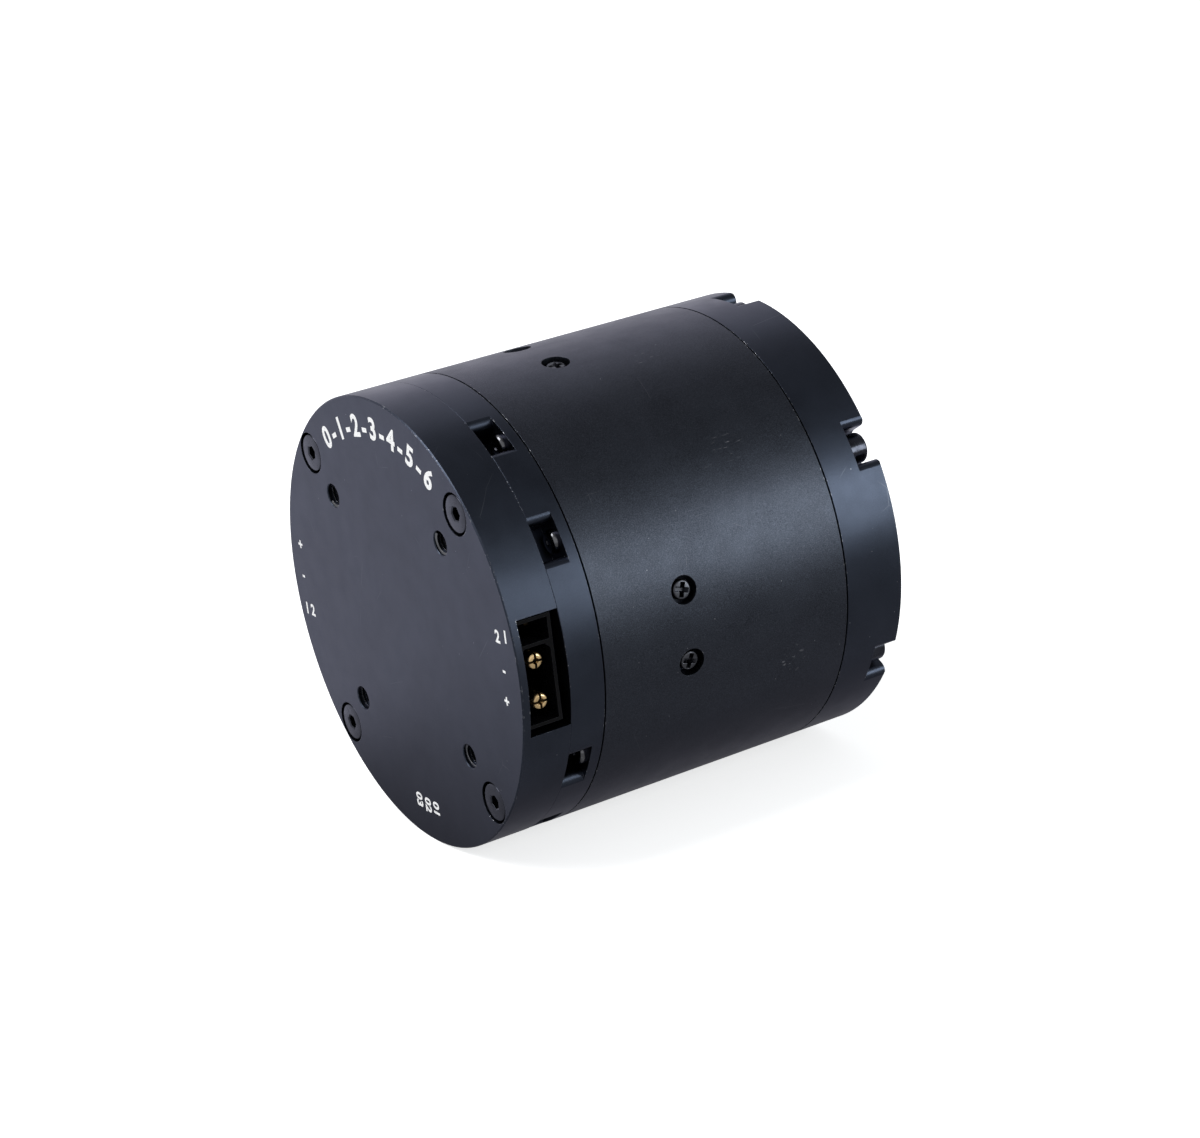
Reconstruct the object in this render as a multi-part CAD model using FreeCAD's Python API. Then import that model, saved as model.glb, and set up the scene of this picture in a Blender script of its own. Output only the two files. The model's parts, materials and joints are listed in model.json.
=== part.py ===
"""Geared robot joint actuator: casing, driver board, motor, two planetary stages and output bearing.

The joint axis lies along +X, from the rear mounting face at x = 0 to the output flange. +Z is up.
The power socket of the front side faces -Y. Lengths are in millimetres, angles in degrees.
Angles about the joint axis are counted from +Y towards +Z.
"""
import FreeCAD
import Part
import math
import os

V = FreeCAD.Vector
ORIGIN = V(0, 0, 0)
AXIS = V(1, 0, 0)

# Clearances that repeat through the whole part, and how far a cutter reaches past a face
past = 1.0
screw_clearance = 0.1
small_clearance = 0.05
thread_end_gap = 0.3
head_sink = 0.1

# Casing
body_radius = 28.5
cover_length = 6.5
frame_length = 4.6
barrel_length = 35.2
front_ring_length = 8.2
barrel_wall = 3.6
cover_wall = 3.2
rear_wall = 1.8
edge_chamfer = 0.15
seam_chamfer = 0.06
seam_width = 0.22
seam_depth = 0.5

# Rear mounting holes, on a square about the axis
mount_spacing = 27.0
mount_hole_radius = 1.5
mount_hole_depth = 4.2
mount_boss_radius = 3.2
mount_boss_floor = 0.8
thread_mouth_chamfer = 0.1

# Screws that hold the rear cover, one at each corner
cover_screw_count = 4
cover_screw_inset = 2.9
cover_screw_first_angle = 45.0
cover_head_radius = 2.35
cover_head_height = 1.5
cover_head_gap = 0.3
cover_shank_radius = 1.25
cover_screw_bite = 3.4
cover_boss_wall = 0.65
cover_hex_flats = 1.55
cover_hex_depth = 0.9

# Windows in the rear frame's side, and the screw in each
window_angles = (30.0, 60.0, 120.0, 150.0, 210.0, 240.0, 300.0, 330.0)
window_length = 3.25
window_half_width = 2.2
window_depth = 3.7
window_floor_wall = 1.3
window_lip = 1.0
frame_screw_inset = 2.1
frame_head_radius = 1.45
frame_head_height = 0.7
frame_shank_radius = 0.8
frame_screw_bite = 3.5
frame_hex_flats = 0.9
frame_hex_depth = 0.4

# Rear frame: web, stator hub and board bosses
web_inset = 0.7
web_thickness = 1.5
hub_wall = 2.4
bearing_boss_wall = 1.5
bearing_lip = 0.6
bearing_lip_width = 1.2
board_boss_radius = 1.8

# Screws through the barrel's side into the motor plate, in pairs
side_pair_angles = (0.0, 90.0, 180.0, 270.0)
side_pair_half_angle = 9.2
side_bore_radius = 1.75
side_bore_depth = 1.9
side_head_radius = 1.35
side_head_height = 1.2
side_shank_radius = 0.9
side_screw_bite = 2.4

# Slots in the front ring, and the screw in each
slot_count = 6
slot_first_angle = 30.0
slot_length = 3.3
slot_half_width = 2.25
slot_lip = 1.0
front_screw_inset = 2.7
front_head_radius = 1.9
front_head_height = 2.9
front_shank_radius = 1.0
front_screw_bite = 3.5
front_hex_flats = 1.5
front_hex_depth = 1.0

# Power sockets, at the -Y side and, turned half way round, at the +Y side
socket_rim = 1.0
socket_pocket_wall = 0.5
socket_setback = 1.0
socket_height = 4.9
socket_top = 6.9
socket_bottom = -6.35
socket_depth = 10.0
socket_wall = 0.4
socket_divider = 3.4
socket_floor = 2.0
socket_bevel = 0.7
socket_to_pocket = 0.1
socket_window_top = 7.1
socket_window_bottom = -7.35
power_pin_radius = 1.0
power_pin_pitch = 5.0
power_pin_centre = -1.0
power_pin_slot = 0.3
power_pin_slot_depth = 2.0
pin_recess = 0.2
signal_pin_side = 0.6
signal_pin_pitch = 2.0
signal_pin_recess = 3.2

# Serial socket, at the bottom
serial_width = 7.0
serial_height = 4.0
serial_depth = 6.5
serial_wall = 0.45
serial_window_margin = 0.7
serial_pin_count = 3
serial_pin_pitch = 1.5
serial_pin_side = 0.5

# Driver board
board_to_cover = 2.2
board_thickness = 1.2
board_notch_gap = 0.5
board_screw_inset = 4.1
board_screw_angles = (90.0, 210.0, 330.0)
board_screw_head_radius = 1.5
board_screw_head_height = 0.9
board_screw_shank_radius = 0.8
board_screw_bite = 0.3
controller_side = 7.0
controller_thickness = 1.0
switch_count = 6
switch_side = 3.2
switch_thickness = 0.9
switch_circle = 11.5
switch_first_angle = 30.0
sensor_side = 3.0
sensor_thickness = 0.7

# Motor
bell_to_barrel = 0.5
stator_depth = 9.1
stator_length = 5.0
stator_yoke = 2.4
stator_slot_count = 12
tooth_tip = 1.2
tooth_opening = 1.6
coil_overhang = 1.6
coil_side = 1.5
coil_spacing = 1.05
coil_gap = 0.05
coil_bevel = 0.96
coil_root_gap = 0.6
coil_tip_gap = 0.5
coil_to_web = 0.9
coil_to_bell = 0.6
lead_radius = 0.6
lead_angles = (30.0, 150.0, 270.0)
lead_hole_gap = 0.5
air_gap = 0.5
magnet_count = 14
magnet_width = 4.2
magnet_thickness = 1.0
magnet_extra_length = 0.5
magnet_glue = 0.1
bell_wall = 1.2
bell_web = 1.2
bell_hub_radius = 5.0
bell_hub_length = 3.6
bell_hole_count = 6
bell_hole_radius = 3.2
bell_hole_circle = 13.5
bell_to_plate = 0.5
bell_rim = 0.4
shaft_radius = 2.5
pinion_shaft_radius = 1.5
pinion_setback = 0.3
pinion_overrun = 0.2
sensor_magnet_radius = 2.2
sensor_magnet_thickness = 0.7

# Small ball bearings of the rotor and of the first carrier
bearing_outer_radius = 4.5
bearing_race_gap = 0.4
bearing_width = 2.5

# Motor plate
plate_thickness = 3.1
plate_fit = 0.05
plate_lip = 0.7
plate_relief_depth = 1.0
plate_relief_rim = 4.5
plate_relief_hub = 1.5

# Gear train: teeth of sun, planet and ring, wall of the ring gear, and width of the planets in each stage
planet_count = 3
planet_first_angle = 90.0
stage_1_tooth_counts = (12, 36, 84)
stage_1_ring_wall = 3.325
stage_1_width = 4.2
stage_1_ring_width = 6.0
stage_2_tooth_counts = (12, 18, 48)
stage_2_ring_wall = 4.81
stage_2_width = 7.0
pressure_angle = 20.0
addendum_factor = 0.8
dedendum_factor = 1.05
tooth_thinning = 0.05
stage_1_chord_counts = (3, 1, 1)
stage_2_chord_counts = (3, 2, 2)
gear_side_gap = 0.5
pin_1_radius = 2.0
pin_2_radius = 2.5
running_gap = 0.03
pin_end_gap = 0.3
carrier_1_thickness = 2.0
carrier_1_rim = 2.0
carrier_1_hub_inset = 1.0
sun_2_neck_step = 0.36
pinion_nose = 1.4
nose_gap = 0.4
sun_2_shortening = 0.2
pin_2_blind = 0.8

# Output bearing, thin-section and shielded
output_bearing_width = 5.6
front_ring_wall = 6.0
output_race_wall = 2.5
output_race_gap = 0.5

# Output side
barrel_shoulder_step = 0.5
carrier_shoulder_step = 1.2
flange_stand = 0.5
flange_overhang = 0.4
seal_gap = 0.1
seal_width = 1.2
seal_length = 1.8
seal_setback = 0.4
output_hole_count = 6
output_hole_inset = 2.0
output_hole_radius = 1.25
output_hole_depth = 6.0
dowel_angles = (30.0, 210.0)
dowel_radius = 1.5
dowel_depth = 4.0
pilot_radius = 5.0
pilot_depth = 2.6
flange_edge_chamfer = 0.3
flange_screw_count = 3
flange_screw_circle = 9.0
flange_screw_first_angle = 30.0
flange_screw_head_radius = 2.9
flange_screw_head_height = 1.7
flange_screw_head_gap = 0.15
flange_screw_head_sink = 0.3
flange_screw_shank_radius = 1.5
flange_screw_bite = 4.5
flange_hex_flats = 2.0
flange_hex_depth = 1.0
carrier_bore_radius = 3.4

# Radii that follow from the casing
barrel_bore = body_radius - barrel_wall
plate_radius = barrel_bore - plate_fit
cover_screw_circle = body_radius - cover_screw_inset
frame_screw_circle = body_radius - frame_screw_inset
front_screw_circle = body_radius - front_screw_inset
window_floor_radius = body_radius - window_depth
frame_bore = window_floor_radius - window_floor_wall
board_radius = body_radius - cover_wall - board_to_cover
board_screw_circle = board_radius - board_screw_inset

bell_radius = barrel_bore - bell_to_barrel
bell_bore = bell_radius - bell_wall
magnet_radius = math.sqrt((bell_bore - magnet_glue) ** 2 - (magnet_width / 2) ** 2) - magnet_thickness
stator_radius = magnet_radius - air_gap
stator_bore_radius = stator_radius - stator_depth
tooth_root = stator_bore_radius + stator_yoke
coil_inner = tooth_root + coil_root_gap
coil_outer = stator_radius - tooth_tip - coil_tip_gap
coil_half_width = coil_inner * math.tan(math.pi / stator_slot_count) - coil_spacing / 2
tooth_width = 2 * (coil_half_width - coil_side)
lead_circle = (coil_inner + coil_outer) / 2

bearing_ring_wall = (bearing_outer_radius - shaft_radius - bearing_race_gap) / 2
output_bearing_radius = body_radius - front_ring_wall
output_race_inner = output_bearing_radius - output_race_wall
output_race_outer = output_race_inner - output_race_gap
output_bearing_bore = output_race_outer - output_race_wall
barrel_shoulder_radius = output_race_inner + barrel_shoulder_step
carrier_shoulder_radius = output_bearing_bore + carrier_shoulder_step
flange_radius = output_race_outer + flange_overhang
output_hole_circle = output_bearing_bore - output_hole_inset

# Stations along the axis that follow from the sizes above
frame_x = cover_length
barrel_x = frame_x + frame_length
front_x = barrel_x + barrel_length
face_x = front_x + front_ring_length
output_x = face_x + flange_stand

socket_x = socket_pocket_wall + socket_to_pocket
board_x = socket_x + socket_height
board_front_x = board_x + board_thickness
web_front_x = barrel_x - web_inset
web_x = web_front_x - web_thickness

coil_x = web_front_x + coil_to_web
stator_x = coil_x + coil_overhang
stator_front_x = stator_x + stator_length
coil_front_x = stator_front_x + coil_overhang
bell_x = coil_front_x + coil_to_bell
bell_front_x = bell_x + bell_web
plate_x = bell_front_x + bell_to_plate
plate_front_x = plate_x + plate_thickness
side_screw_x = plate_x + plate_thickness / 2

planet_1_x = plate_front_x + gear_side_gap
carrier_1_x = planet_1_x + stage_1_width + gear_side_gap
carrier_1_front_x = carrier_1_x + carrier_1_thickness
ring_2_x = plate_front_x + stage_1_ring_width
planet_2_x = carrier_1_front_x + gear_side_gap
carrier_2_x = planet_2_x + stage_2_width + gear_side_gap
ring_2_front_x = carrier_2_x + gear_side_gap
seat_x = front_x + output_bearing_width

# Each stage's module follows from the room inside its ring gear
stage_1_module = 2 * (plate_radius - stage_1_ring_wall) / (stage_1_tooth_counts[2] + 2 * dedendum_factor)
stage_2_module = 2 * (plate_radius - stage_2_ring_wall) / (stage_2_tooth_counts[2] + 2 * dedendum_factor)
centre_distance_1 = stage_1_module * (stage_1_tooth_counts[0] + stage_1_tooth_counts[1]) / 2
centre_distance_2 = stage_2_module * (stage_2_tooth_counts[0] + stage_2_tooth_counts[1]) / 2
sun_2_root_radius = stage_2_module * (stage_2_tooth_counts[0] / 2 - dedendum_factor)
sun_2_neck_radius = sun_2_root_radius - sun_2_neck_step


def at(radius, angle, x=0.0):
    """Point at a radius and angle about the joint axis."""
    turn = math.radians(angle)
    return V(x, radius * math.cos(turn), radius * math.sin(turn))


def spread(count, first=0.0):
    """Angles of a number of copies spread evenly round the axis."""
    return [first + 360.0 * i / count for i in range(count)]


def rod(radius, x0, x1, centre=ORIGIN):
    """Cylinder along the joint direction from x0 to x1."""
    return Part.makeCylinder(radius, x1 - x0, V(x0, centre.y, centre.z), AXIS)


def rods(radius, x0, x1, centres):
    """Equal cylinders along the joint direction, one at each centre."""
    return [rod(radius, x0, x1, centre) for centre in centres]


def ring(outer, inner, x0, x1):
    """Plain ring about the joint axis."""
    return rod(outer, x0, x1).cut(rod(inner, x0 - past, x1 + past))


def turned(points):
    """Solid turned about the joint axis from a closed outline of (x, radius) points."""
    corners = [V(x, r, 0) for x, r in points]
    face = Part.Face(Part.makePolygon(corners + corners[:1]))
    return face.revolve(ORIGIN, AXIS, 360)


def box(x0, x1, y0, y1, z0, z1):
    """Box between two corners."""
    return Part.makeBox(x1 - x0, y1 - y0, z1 - z0, V(x0, y0, z0))


def about_axis(shape, angle):
    """Copy of a shape turned about the joint axis."""
    copy = shape.copy()
    copy.rotate(ORIGIN, AXIS, angle)
    return copy


def cut_all(shape, tools):
    """Shape less all the tools."""
    return shape.cut(Part.makeCompound(tools))


def hexagon(flats, x0, x1, centre):
    """Hexagonal bar along the joint direction, by its width across flats."""
    corner = flats / 2 / math.cos(math.pi / 6)
    points = [V(x0, centre.y + corner * math.cos(a), centre.z + corner * math.sin(a))
              for a in [math.radians(60 * i) for i in range(7)]]
    return Part.Face(Part.makePolygon(points)).extrude(V(x1 - x0, 0, 0))


def axial_screw(centre, seat, height, head, shank, tip, flats, hex_depth):
    """Socket screw along the joint direction: its head stands on the seat and its shank ends at the tip."""
    top = seat + height
    low, high = sorted((seat, top))
    body = rod(head, low, high, centre)
    low, high = sorted((seat, tip))
    body = body.fuse(rod(shank, low, high, centre))
    toward_seat = math.copysign(hex_depth, seat - top)
    low, high = sorted((top, top + toward_seat))
    return body.cut(hexagon(flats, low, high, centre))


def export(name, solids):
    """Write one node: a single solid, or a group of separate solids."""
    shape = solids[0] if len(solids) == 1 else Part.makeCompound(solids)
    shape.exportStep(os.path.join("parts", name + ".step"))


def side_opening(half_width, floor_radius, lip, x0, x1, round_floor):
    """Cutter for an opening in a round wall, facing +Y: straight walls, rounded lips at the mouth.

    The floor is flat, or a half round whose lowest point is at the floor radius.
    """
    mouth = half_width + lip
    surface = math.sqrt(body_radius ** 2 - mouth ** 2)
    outside = body_radius + past
    bend = surface - lip
    tip = lip * math.sqrt(0.5)

    def point(across, out):
        return V(x0, out, across)

    def lip_arc(side):
        middle = point(side * (mouth - tip), bend + tip)
        return Part.Arc(point(side * half_width, bend), middle, point(side * mouth, surface)).toShape()

    edges = [lip_arc(1), Part.makeLine(point(mouth, surface), point(mouth, outside)),
             Part.makeLine(point(mouth, outside), point(-mouth, outside)),
             Part.makeLine(point(-mouth, outside), point(-mouth, surface)), lip_arc(-1)]
    if round_floor:
        start = floor_radius + half_width
        edges.append(Part.makeLine(point(-half_width, bend), point(-half_width, start)))
        bottom = Part.Arc(point(-half_width, start), point(0, floor_radius), point(half_width, start))
        edges.append(bottom.toShape())
        edges.append(Part.makeLine(point(half_width, start), point(half_width, bend)))
    else:
        edges.append(Part.makeLine(point(-half_width, bend), point(-half_width, floor_radius)))
        edges.append(Part.makeLine(point(-half_width, floor_radius), point(half_width, floor_radius)))
        edges.append(Part.makeLine(point(half_width, floor_radius), point(half_width, bend)))
    wire = Part.Wire(Part.__sortEdges__(edges))
    return Part.Face(wire).extrude(V(x1 - x0, 0, 0))


# Casing

cover_screw_points = [at(cover_screw_circle, a) for a in spread(cover_screw_count, cover_screw_first_angle)]
mount_points = [V(0, y * mount_spacing / 2, z * mount_spacing / 2) for y in (-1, 1) for z in (-1, 1)]
cover_boss_radius = cover_head_radius + cover_head_gap + cover_boss_wall
cover_seat_x = cover_head_height + head_sink
cover_screw_tip = frame_x + cover_screw_bite


def socket_space():
    """Room for the -Y power socket: a pocket inside the cover and a window through its side."""
    front = -(body_radius - socket_setback)
    end = frame_x + past
    inside = box(socket_pocket_wall, end, front, front + socket_depth + past,
                 socket_window_bottom, socket_window_top)
    window = box(socket_rim, end, -body_radius - past, front + past, socket_window_bottom, socket_window_top)
    return inside.fuse(window)


def serial_space():
    """Room for the serial socket: a window through the cover's underside."""
    half = serial_width / 2 + serial_window_margin
    front = -(body_radius - socket_setback)
    return box(socket_rim, frame_x + past, -half, half, -body_radius - past, front + serial_depth + past)


def make_rear_cover():
    """Cup with corner bosses, tapped mounting holes and the sockets' windows."""
    cavity = body_radius - cover_wall
    shell = turned([(0, 0), (0, body_radius - edge_chamfer), (edge_chamfer, body_radius),
                    (frame_x, body_radius), (frame_x, cavity), (rear_wall, cavity), (rear_wall, 0)])
    shell = shell.cut(socket_space())
    shell = shell.cut(about_axis(socket_space(), 180))
    shell = shell.cut(serial_space())
    disc = rod(body_radius, rear_wall / 2, frame_x)
    bosses = [rod(cover_boss_radius, rear_wall / 2, frame_x, p).common(disc) for p in cover_screw_points]
    bosses += rods(mount_boss_radius, rear_wall / 2, mount_hole_depth + mount_boss_floor, mount_points)
    shell = shell.fuse(bosses)
    holes = []
    for p in cover_screw_points:
        holes.append(rod(cover_head_radius + cover_head_gap, -1, cover_seat_x, p))
        holes.append(rod(cover_shank_radius + screw_clearance, 0, frame_x + past, p))
    for p in mount_points:
        holes.append(rod(mount_hole_radius, -1, mount_hole_depth, p))
        mouth = mount_hole_radius + thread_mouth_chamfer
        holes.append(Part.makeCone(mouth, mount_hole_radius, thread_mouth_chamfer, V(0, p.y, p.z), AXIS))
    return cut_all(shell, holes).removeSplitter()


def make_cover_screws():
    """Flat-headed socket screws, flush with the rear face."""
    return [axial_screw(p, cover_seat_x, -cover_head_height, cover_head_radius, cover_shank_radius,
                        cover_screw_tip, cover_hex_flats, cover_hex_depth) for p in cover_screw_points]


window_floor_x = frame_x + window_length
frame_screw_tip = barrel_x + frame_screw_bite
board_screw_tip = web_x + board_screw_bite
frame_screw_points = [at(frame_screw_circle, a) for a in window_angles]
board_screw_points = [at(board_screw_circle, a) for a in board_screw_angles]
rear_bearing_x = web_x
rear_bearing_front_x = rear_bearing_x + bearing_width
boss_radius = bearing_outer_radius + bearing_boss_wall
lip_radius = bearing_outer_radius - bearing_lip_width


def make_rear_frame():
    """Narrow casing ring with a web, the stator's hub, the rear bearing's seat and the board's bosses."""
    hub_bore = stator_bore_radius - hub_wall
    boss_front = rear_bearing_front_x + bearing_lip
    body = turned([
        (frame_x, frame_bore), (frame_x, body_radius - seam_chamfer), (frame_x + seam_chamfer, body_radius),
        (barrel_x, body_radius),
        (barrel_x, frame_bore), (web_front_x, frame_bore), (web_front_x, stator_bore_radius),
        (stator_front_x, stator_bore_radius), (stator_front_x, hub_bore), (web_front_x, hub_bore),
        (web_front_x, boss_radius), (boss_front, boss_radius), (boss_front, lip_radius),
        (rear_bearing_front_x, lip_radius), (rear_bearing_front_x, bearing_outer_radius),
        (web_x, bearing_outer_radius), (web_x, frame_bore)])
    body = body.fuse(rods(board_boss_radius, board_front_x, web_x + web_thickness / 2, board_screw_points))
    window = side_opening(window_half_width, window_floor_radius, window_lip,
                          frame_x - past, window_floor_x, False)
    tools = [about_axis(window, a) for a in window_angles]
    tools += rods(frame_shank_radius + small_clearance, window_floor_x - past, barrel_x + past,
                  frame_screw_points)
    tools += rods(cover_shank_radius, frame_x - past, cover_screw_tip + thread_end_gap, cover_screw_points)
    tools += rods(board_screw_shank_radius, board_front_x - past, board_screw_tip + thread_end_gap,
                  board_screw_points)
    tools += [rod(lead_radius + lead_hole_gap, web_x - past, web_front_x + past, at(lead_circle, a))
              for a in lead_angles]
    return cut_all(body, tools).removeSplitter()


def make_frame_screws():
    """Small socket screws on the window floors, which hold the rear frame to the barrel."""
    return [axial_screw(p, window_floor_x, -frame_head_height, frame_head_radius, frame_shank_radius,
                        frame_screw_tip, frame_hex_flats, frame_hex_depth) for p in frame_screw_points]


side_screw_angles = [a + side * side_pair_half_angle for a in side_pair_angles for side in (-1, 1)]
side_seat_radius = body_radius - side_bore_depth
front_screw_points = [at(front_screw_circle, a) for a in spread(slot_count, slot_first_angle)]
slot_floor_x = face_x - slot_length
front_screw_tip = front_x - front_screw_bite


def radial_rod(radius, r0, r1, angle):
    """Cylinder that points outwards from the joint axis, at the side screws' station."""
    return Part.makeCylinder(radius, r1 - r0, at(r0, angle, side_screw_x), at(1, angle))


def make_main_barrel():
    """Long shell: motor and gear bore, ring gears' shoulder, screw seats, a groove at each end."""
    seam_floor = body_radius - seam_depth
    rear_seam_x = barrel_x + seam_width
    front_seam_x = front_x - seam_width
    body = turned([
        (barrel_x, barrel_bore), (barrel_x, seam_floor), (rear_seam_x, seam_floor),
        (rear_seam_x, body_radius), (front_seam_x, body_radius), (front_seam_x, seam_floor),
        (front_x, seam_floor), (front_x, barrel_shoulder_radius),
        (ring_2_front_x, barrel_shoulder_radius), (ring_2_front_x, barrel_bore)])
    tools = []
    for a in side_screw_angles:
        tools.append(radial_rod(side_bore_radius, side_seat_radius, body_radius + past, a))
        tools.append(radial_rod(side_shank_radius + screw_clearance, barrel_bore - past,
                                side_seat_radius + past, a))
    tools += rods(frame_shank_radius, barrel_x - past, frame_screw_tip + thread_end_gap, frame_screw_points)
    tools += rods(front_shank_radius, front_screw_tip - thread_end_gap, front_x + past, front_screw_points)
    return cut_all(body, tools).removeSplitter()


def make_side_screws():
    """Cross-recess screws through the barrel into the motor plate; the recess is left plain."""
    tip = plate_radius - side_screw_bite
    return [radial_rod(side_head_radius, side_seat_radius, side_seat_radius + side_head_height, a).fuse(
        radial_rod(side_shank_radius, tip, side_seat_radius, a)) for a in side_screw_angles]


seal_bore = flange_radius + seal_gap
mouth_radius = seal_bore + seal_width


def make_front_ring():
    """Ring that holds the output bearing and seal, with six open screw slots."""
    body = turned([
        (front_x, output_bearing_radius), (front_x, body_radius), (face_x - edge_chamfer, body_radius),
        (face_x, body_radius - edge_chamfer), (face_x, mouth_radius), (seat_x, mouth_radius),
        (seat_x, output_bearing_radius)])
    slot = side_opening(slot_half_width, front_screw_circle - slot_half_width, slot_lip,
                        slot_floor_x, face_x + past, True)
    tools = [about_axis(slot, a) for a in spread(slot_count, slot_first_angle)]
    tools += rods(front_shank_radius + screw_clearance, front_x - past, slot_floor_x + past,
                  front_screw_points)
    return cut_all(body, tools).removeSplitter()


def make_front_screws():
    """Socket cap screws on the slot floors, which hold the front ring to the barrel."""
    return [axial_screw(p, slot_floor_x, front_head_height, front_head_radius, front_shank_radius,
                        front_screw_tip, front_hex_flats, front_hex_depth) for p in front_screw_points]


# Sockets and driver board

socket_face = body_radius - socket_setback
pin_x = socket_x + socket_height / 2
signal_z = (socket_top + socket_divider) / 2


def make_power_socket():
    """Socket of the -Y side: bevelled power cavity below, signal cavity above."""
    shell = box(socket_x, board_x, -socket_face, -socket_face + socket_depth, socket_bottom, socket_top)
    low_x = socket_x + socket_wall
    high_x = board_x - socket_wall
    low_z = socket_bottom + socket_wall
    outline = [V(low_x, 0, low_z), V(high_x, 0, low_z), V(high_x, 0, socket_divider - socket_bevel),
               V(high_x - socket_bevel, 0, socket_divider), V(low_x + socket_bevel, 0, socket_divider),
               V(low_x, 0, socket_divider - socket_bevel), V(low_x, 0, low_z)]
    power = Part.Face(Part.makePolygon(outline)).extrude(V(0, socket_depth - socket_floor + past, 0))
    power.translate(V(0, -socket_face - past, 0))
    signal = box(low_x, high_x, -socket_face - past, -socket_face + socket_depth - socket_floor,
                 socket_divider + socket_wall, socket_top - socket_wall)
    return shell.cut(power).cut(signal)


def make_power_pins():
    """Split round pins, two to a socket, with a cross slot in each tip."""
    tip = -socket_face + pin_recess
    root = -socket_face + socket_depth - socket_floor
    pins = []
    for step in (-0.5, 0.5):
        z = power_pin_centre + step * power_pin_pitch
        pin = Part.makeCylinder(power_pin_radius, root - tip, V(pin_x, tip, z), V(0, 1, 0))
        half = power_pin_slot / 2
        wide = power_pin_radius + past
        end = tip + power_pin_slot_depth
        pin = pin.cut(box(pin_x - half, pin_x + half, tip - past, end, z - wide, z + wide))
        pin = pin.cut(box(pin_x - wide, pin_x + wide, tip - past, end, z - half, z + half))
        pins.append(pin)
    return pins + [about_axis(pin, 180) for pin in pins]


def make_signal_pins():
    """Thin square pins, two to a socket."""
    tip = -socket_face + signal_pin_recess
    root = -socket_face + socket_depth - socket_floor
    half = signal_pin_side / 2
    pins = []
    for step in (-0.5, 0.5):
        x = pin_x + step * signal_pin_pitch
        pins.append(box(x - half, x + half, tip, root, signal_z - half, signal_z + half))
    return pins + [about_axis(pin, 180) for pin in pins]


serial_x = board_x - serial_height


def make_serial_socket():
    """Three-pin socket that faces down."""
    half = serial_width / 2
    shell = box(serial_x, board_x, -half, half, -socket_face, -socket_face + serial_depth)
    inner = half - serial_wall
    hollow = box(serial_x + serial_wall, board_x - serial_wall, -inner, inner,
                 -socket_face - past, -socket_face + serial_depth - socket_floor)
    return shell.cut(hollow)


def make_serial_pins():
    """Row of thin pins in the serial socket."""
    half = serial_pin_side / 2
    x = serial_x + serial_height / 2
    pins = []
    for i in range(serial_pin_count):
        y = (i - (serial_pin_count - 1) / 2) * serial_pin_pitch
        pins.append(box(x - half, x + half, y - half, y + half, -socket_face + signal_pin_recess,
                        -socket_face + serial_depth - socket_floor))
    return pins


def make_driver_board():
    """Round board, notched at the cover's corner bosses."""
    board = rod(board_radius, board_x, board_front_x)
    rear = board_x - past
    front = board_front_x + past
    tools = rods(cover_boss_radius + board_notch_gap, rear, front, cover_screw_points)
    tools += rods(board_screw_shank_radius + screw_clearance, rear, front, board_screw_points)
    return cut_all(board, tools)


def make_board_screws():
    """Screws that hold the board to the frame's bosses."""
    return [rod(board_screw_head_radius, board_x - board_screw_head_height, board_x, p).fuse(
        rod(board_screw_shank_radius, board_x, board_screw_tip, p)) for p in board_screw_points]


def make_board_chips():
    """Controller at the board's middle and the power switches round it, on the rear side."""
    half = controller_side / 2
    chips = [box(board_x - controller_thickness, board_x, -half, half, -half, half)]
    half = switch_side / 2
    for a in spread(switch_count, switch_first_angle):
        c = at(switch_circle, a)
        chip = box(board_x - switch_thickness, board_x, c.y - half, c.y + half, c.z - half, c.z + half)
        chips.append(chip)
    return chips


def make_sensor_chip():
    """Position sensor on the board's front side, on the axis."""
    half = sensor_side / 2
    return box(board_front_x, board_front_x + sensor_thickness, -half, half, -half, half)


# Motor

def make_stator_core():
    """Laminated core: an inner yoke and outward teeth with broad tips."""
    core = ring(stator_radius, stator_bore_radius, stator_x, stator_front_x)
    rear = stator_x - past
    front = stator_front_x + past
    gap = ring(stator_radius - tooth_tip, tooth_root, rear, front)
    half = tooth_width / 2
    tooth = box(rear, front, tooth_root - past, stator_radius, -half, half)
    teeth = [about_axis(tooth, a) for a in spread(stator_slot_count)]
    core = core.cut(gap.cut(Part.makeCompound(teeth)))
    half = tooth_opening / 2
    opening = box(rear, front, tooth_root + past, stator_radius + past, -half, half)
    openings = [about_axis(opening, a) for a in spread(stator_slot_count, 180.0 / stator_slot_count)]
    return cut_all(core, openings)


def make_stator_coils():
    """One coil round each tooth, with chamfered end turns."""
    wide = coil_half_width
    slot = tooth_width / 2 + coil_gap
    low = coil_x + coil_bevel
    high = coil_front_x - coil_bevel
    corner = wide - coil_bevel
    outline = [V(coil_x, 0, -corner), V(coil_x, 0, corner), V(low, 0, wide), V(high, 0, wide),
               V(coil_front_x, 0, corner), V(coil_front_x, 0, -corner), V(high, 0, -wide), V(low, 0, -wide)]
    block = Part.Face(Part.makePolygon(outline + outline[:1])).extrude(V(0, coil_outer - coil_inner, 0))
    block.translate(V(0, coil_inner, 0))
    hole = box(stator_x - coil_gap, stator_front_x + coil_gap,
               coil_inner - past, coil_outer + past, -slot, slot)
    coil = block.cut(hole)
    return [about_axis(coil, a) for a in spread(stator_slot_count)]


def make_phase_leads():
    """Straight leads from three coils to the board."""
    return [rod(lead_radius, board_front_x, coil_x, at(lead_circle, a)) for a in lead_angles]


magnet_x = stator_x - magnet_extra_length
magnet_front_x = stator_front_x + magnet_extra_length
bell_rim_x = magnet_x - bell_rim


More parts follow.
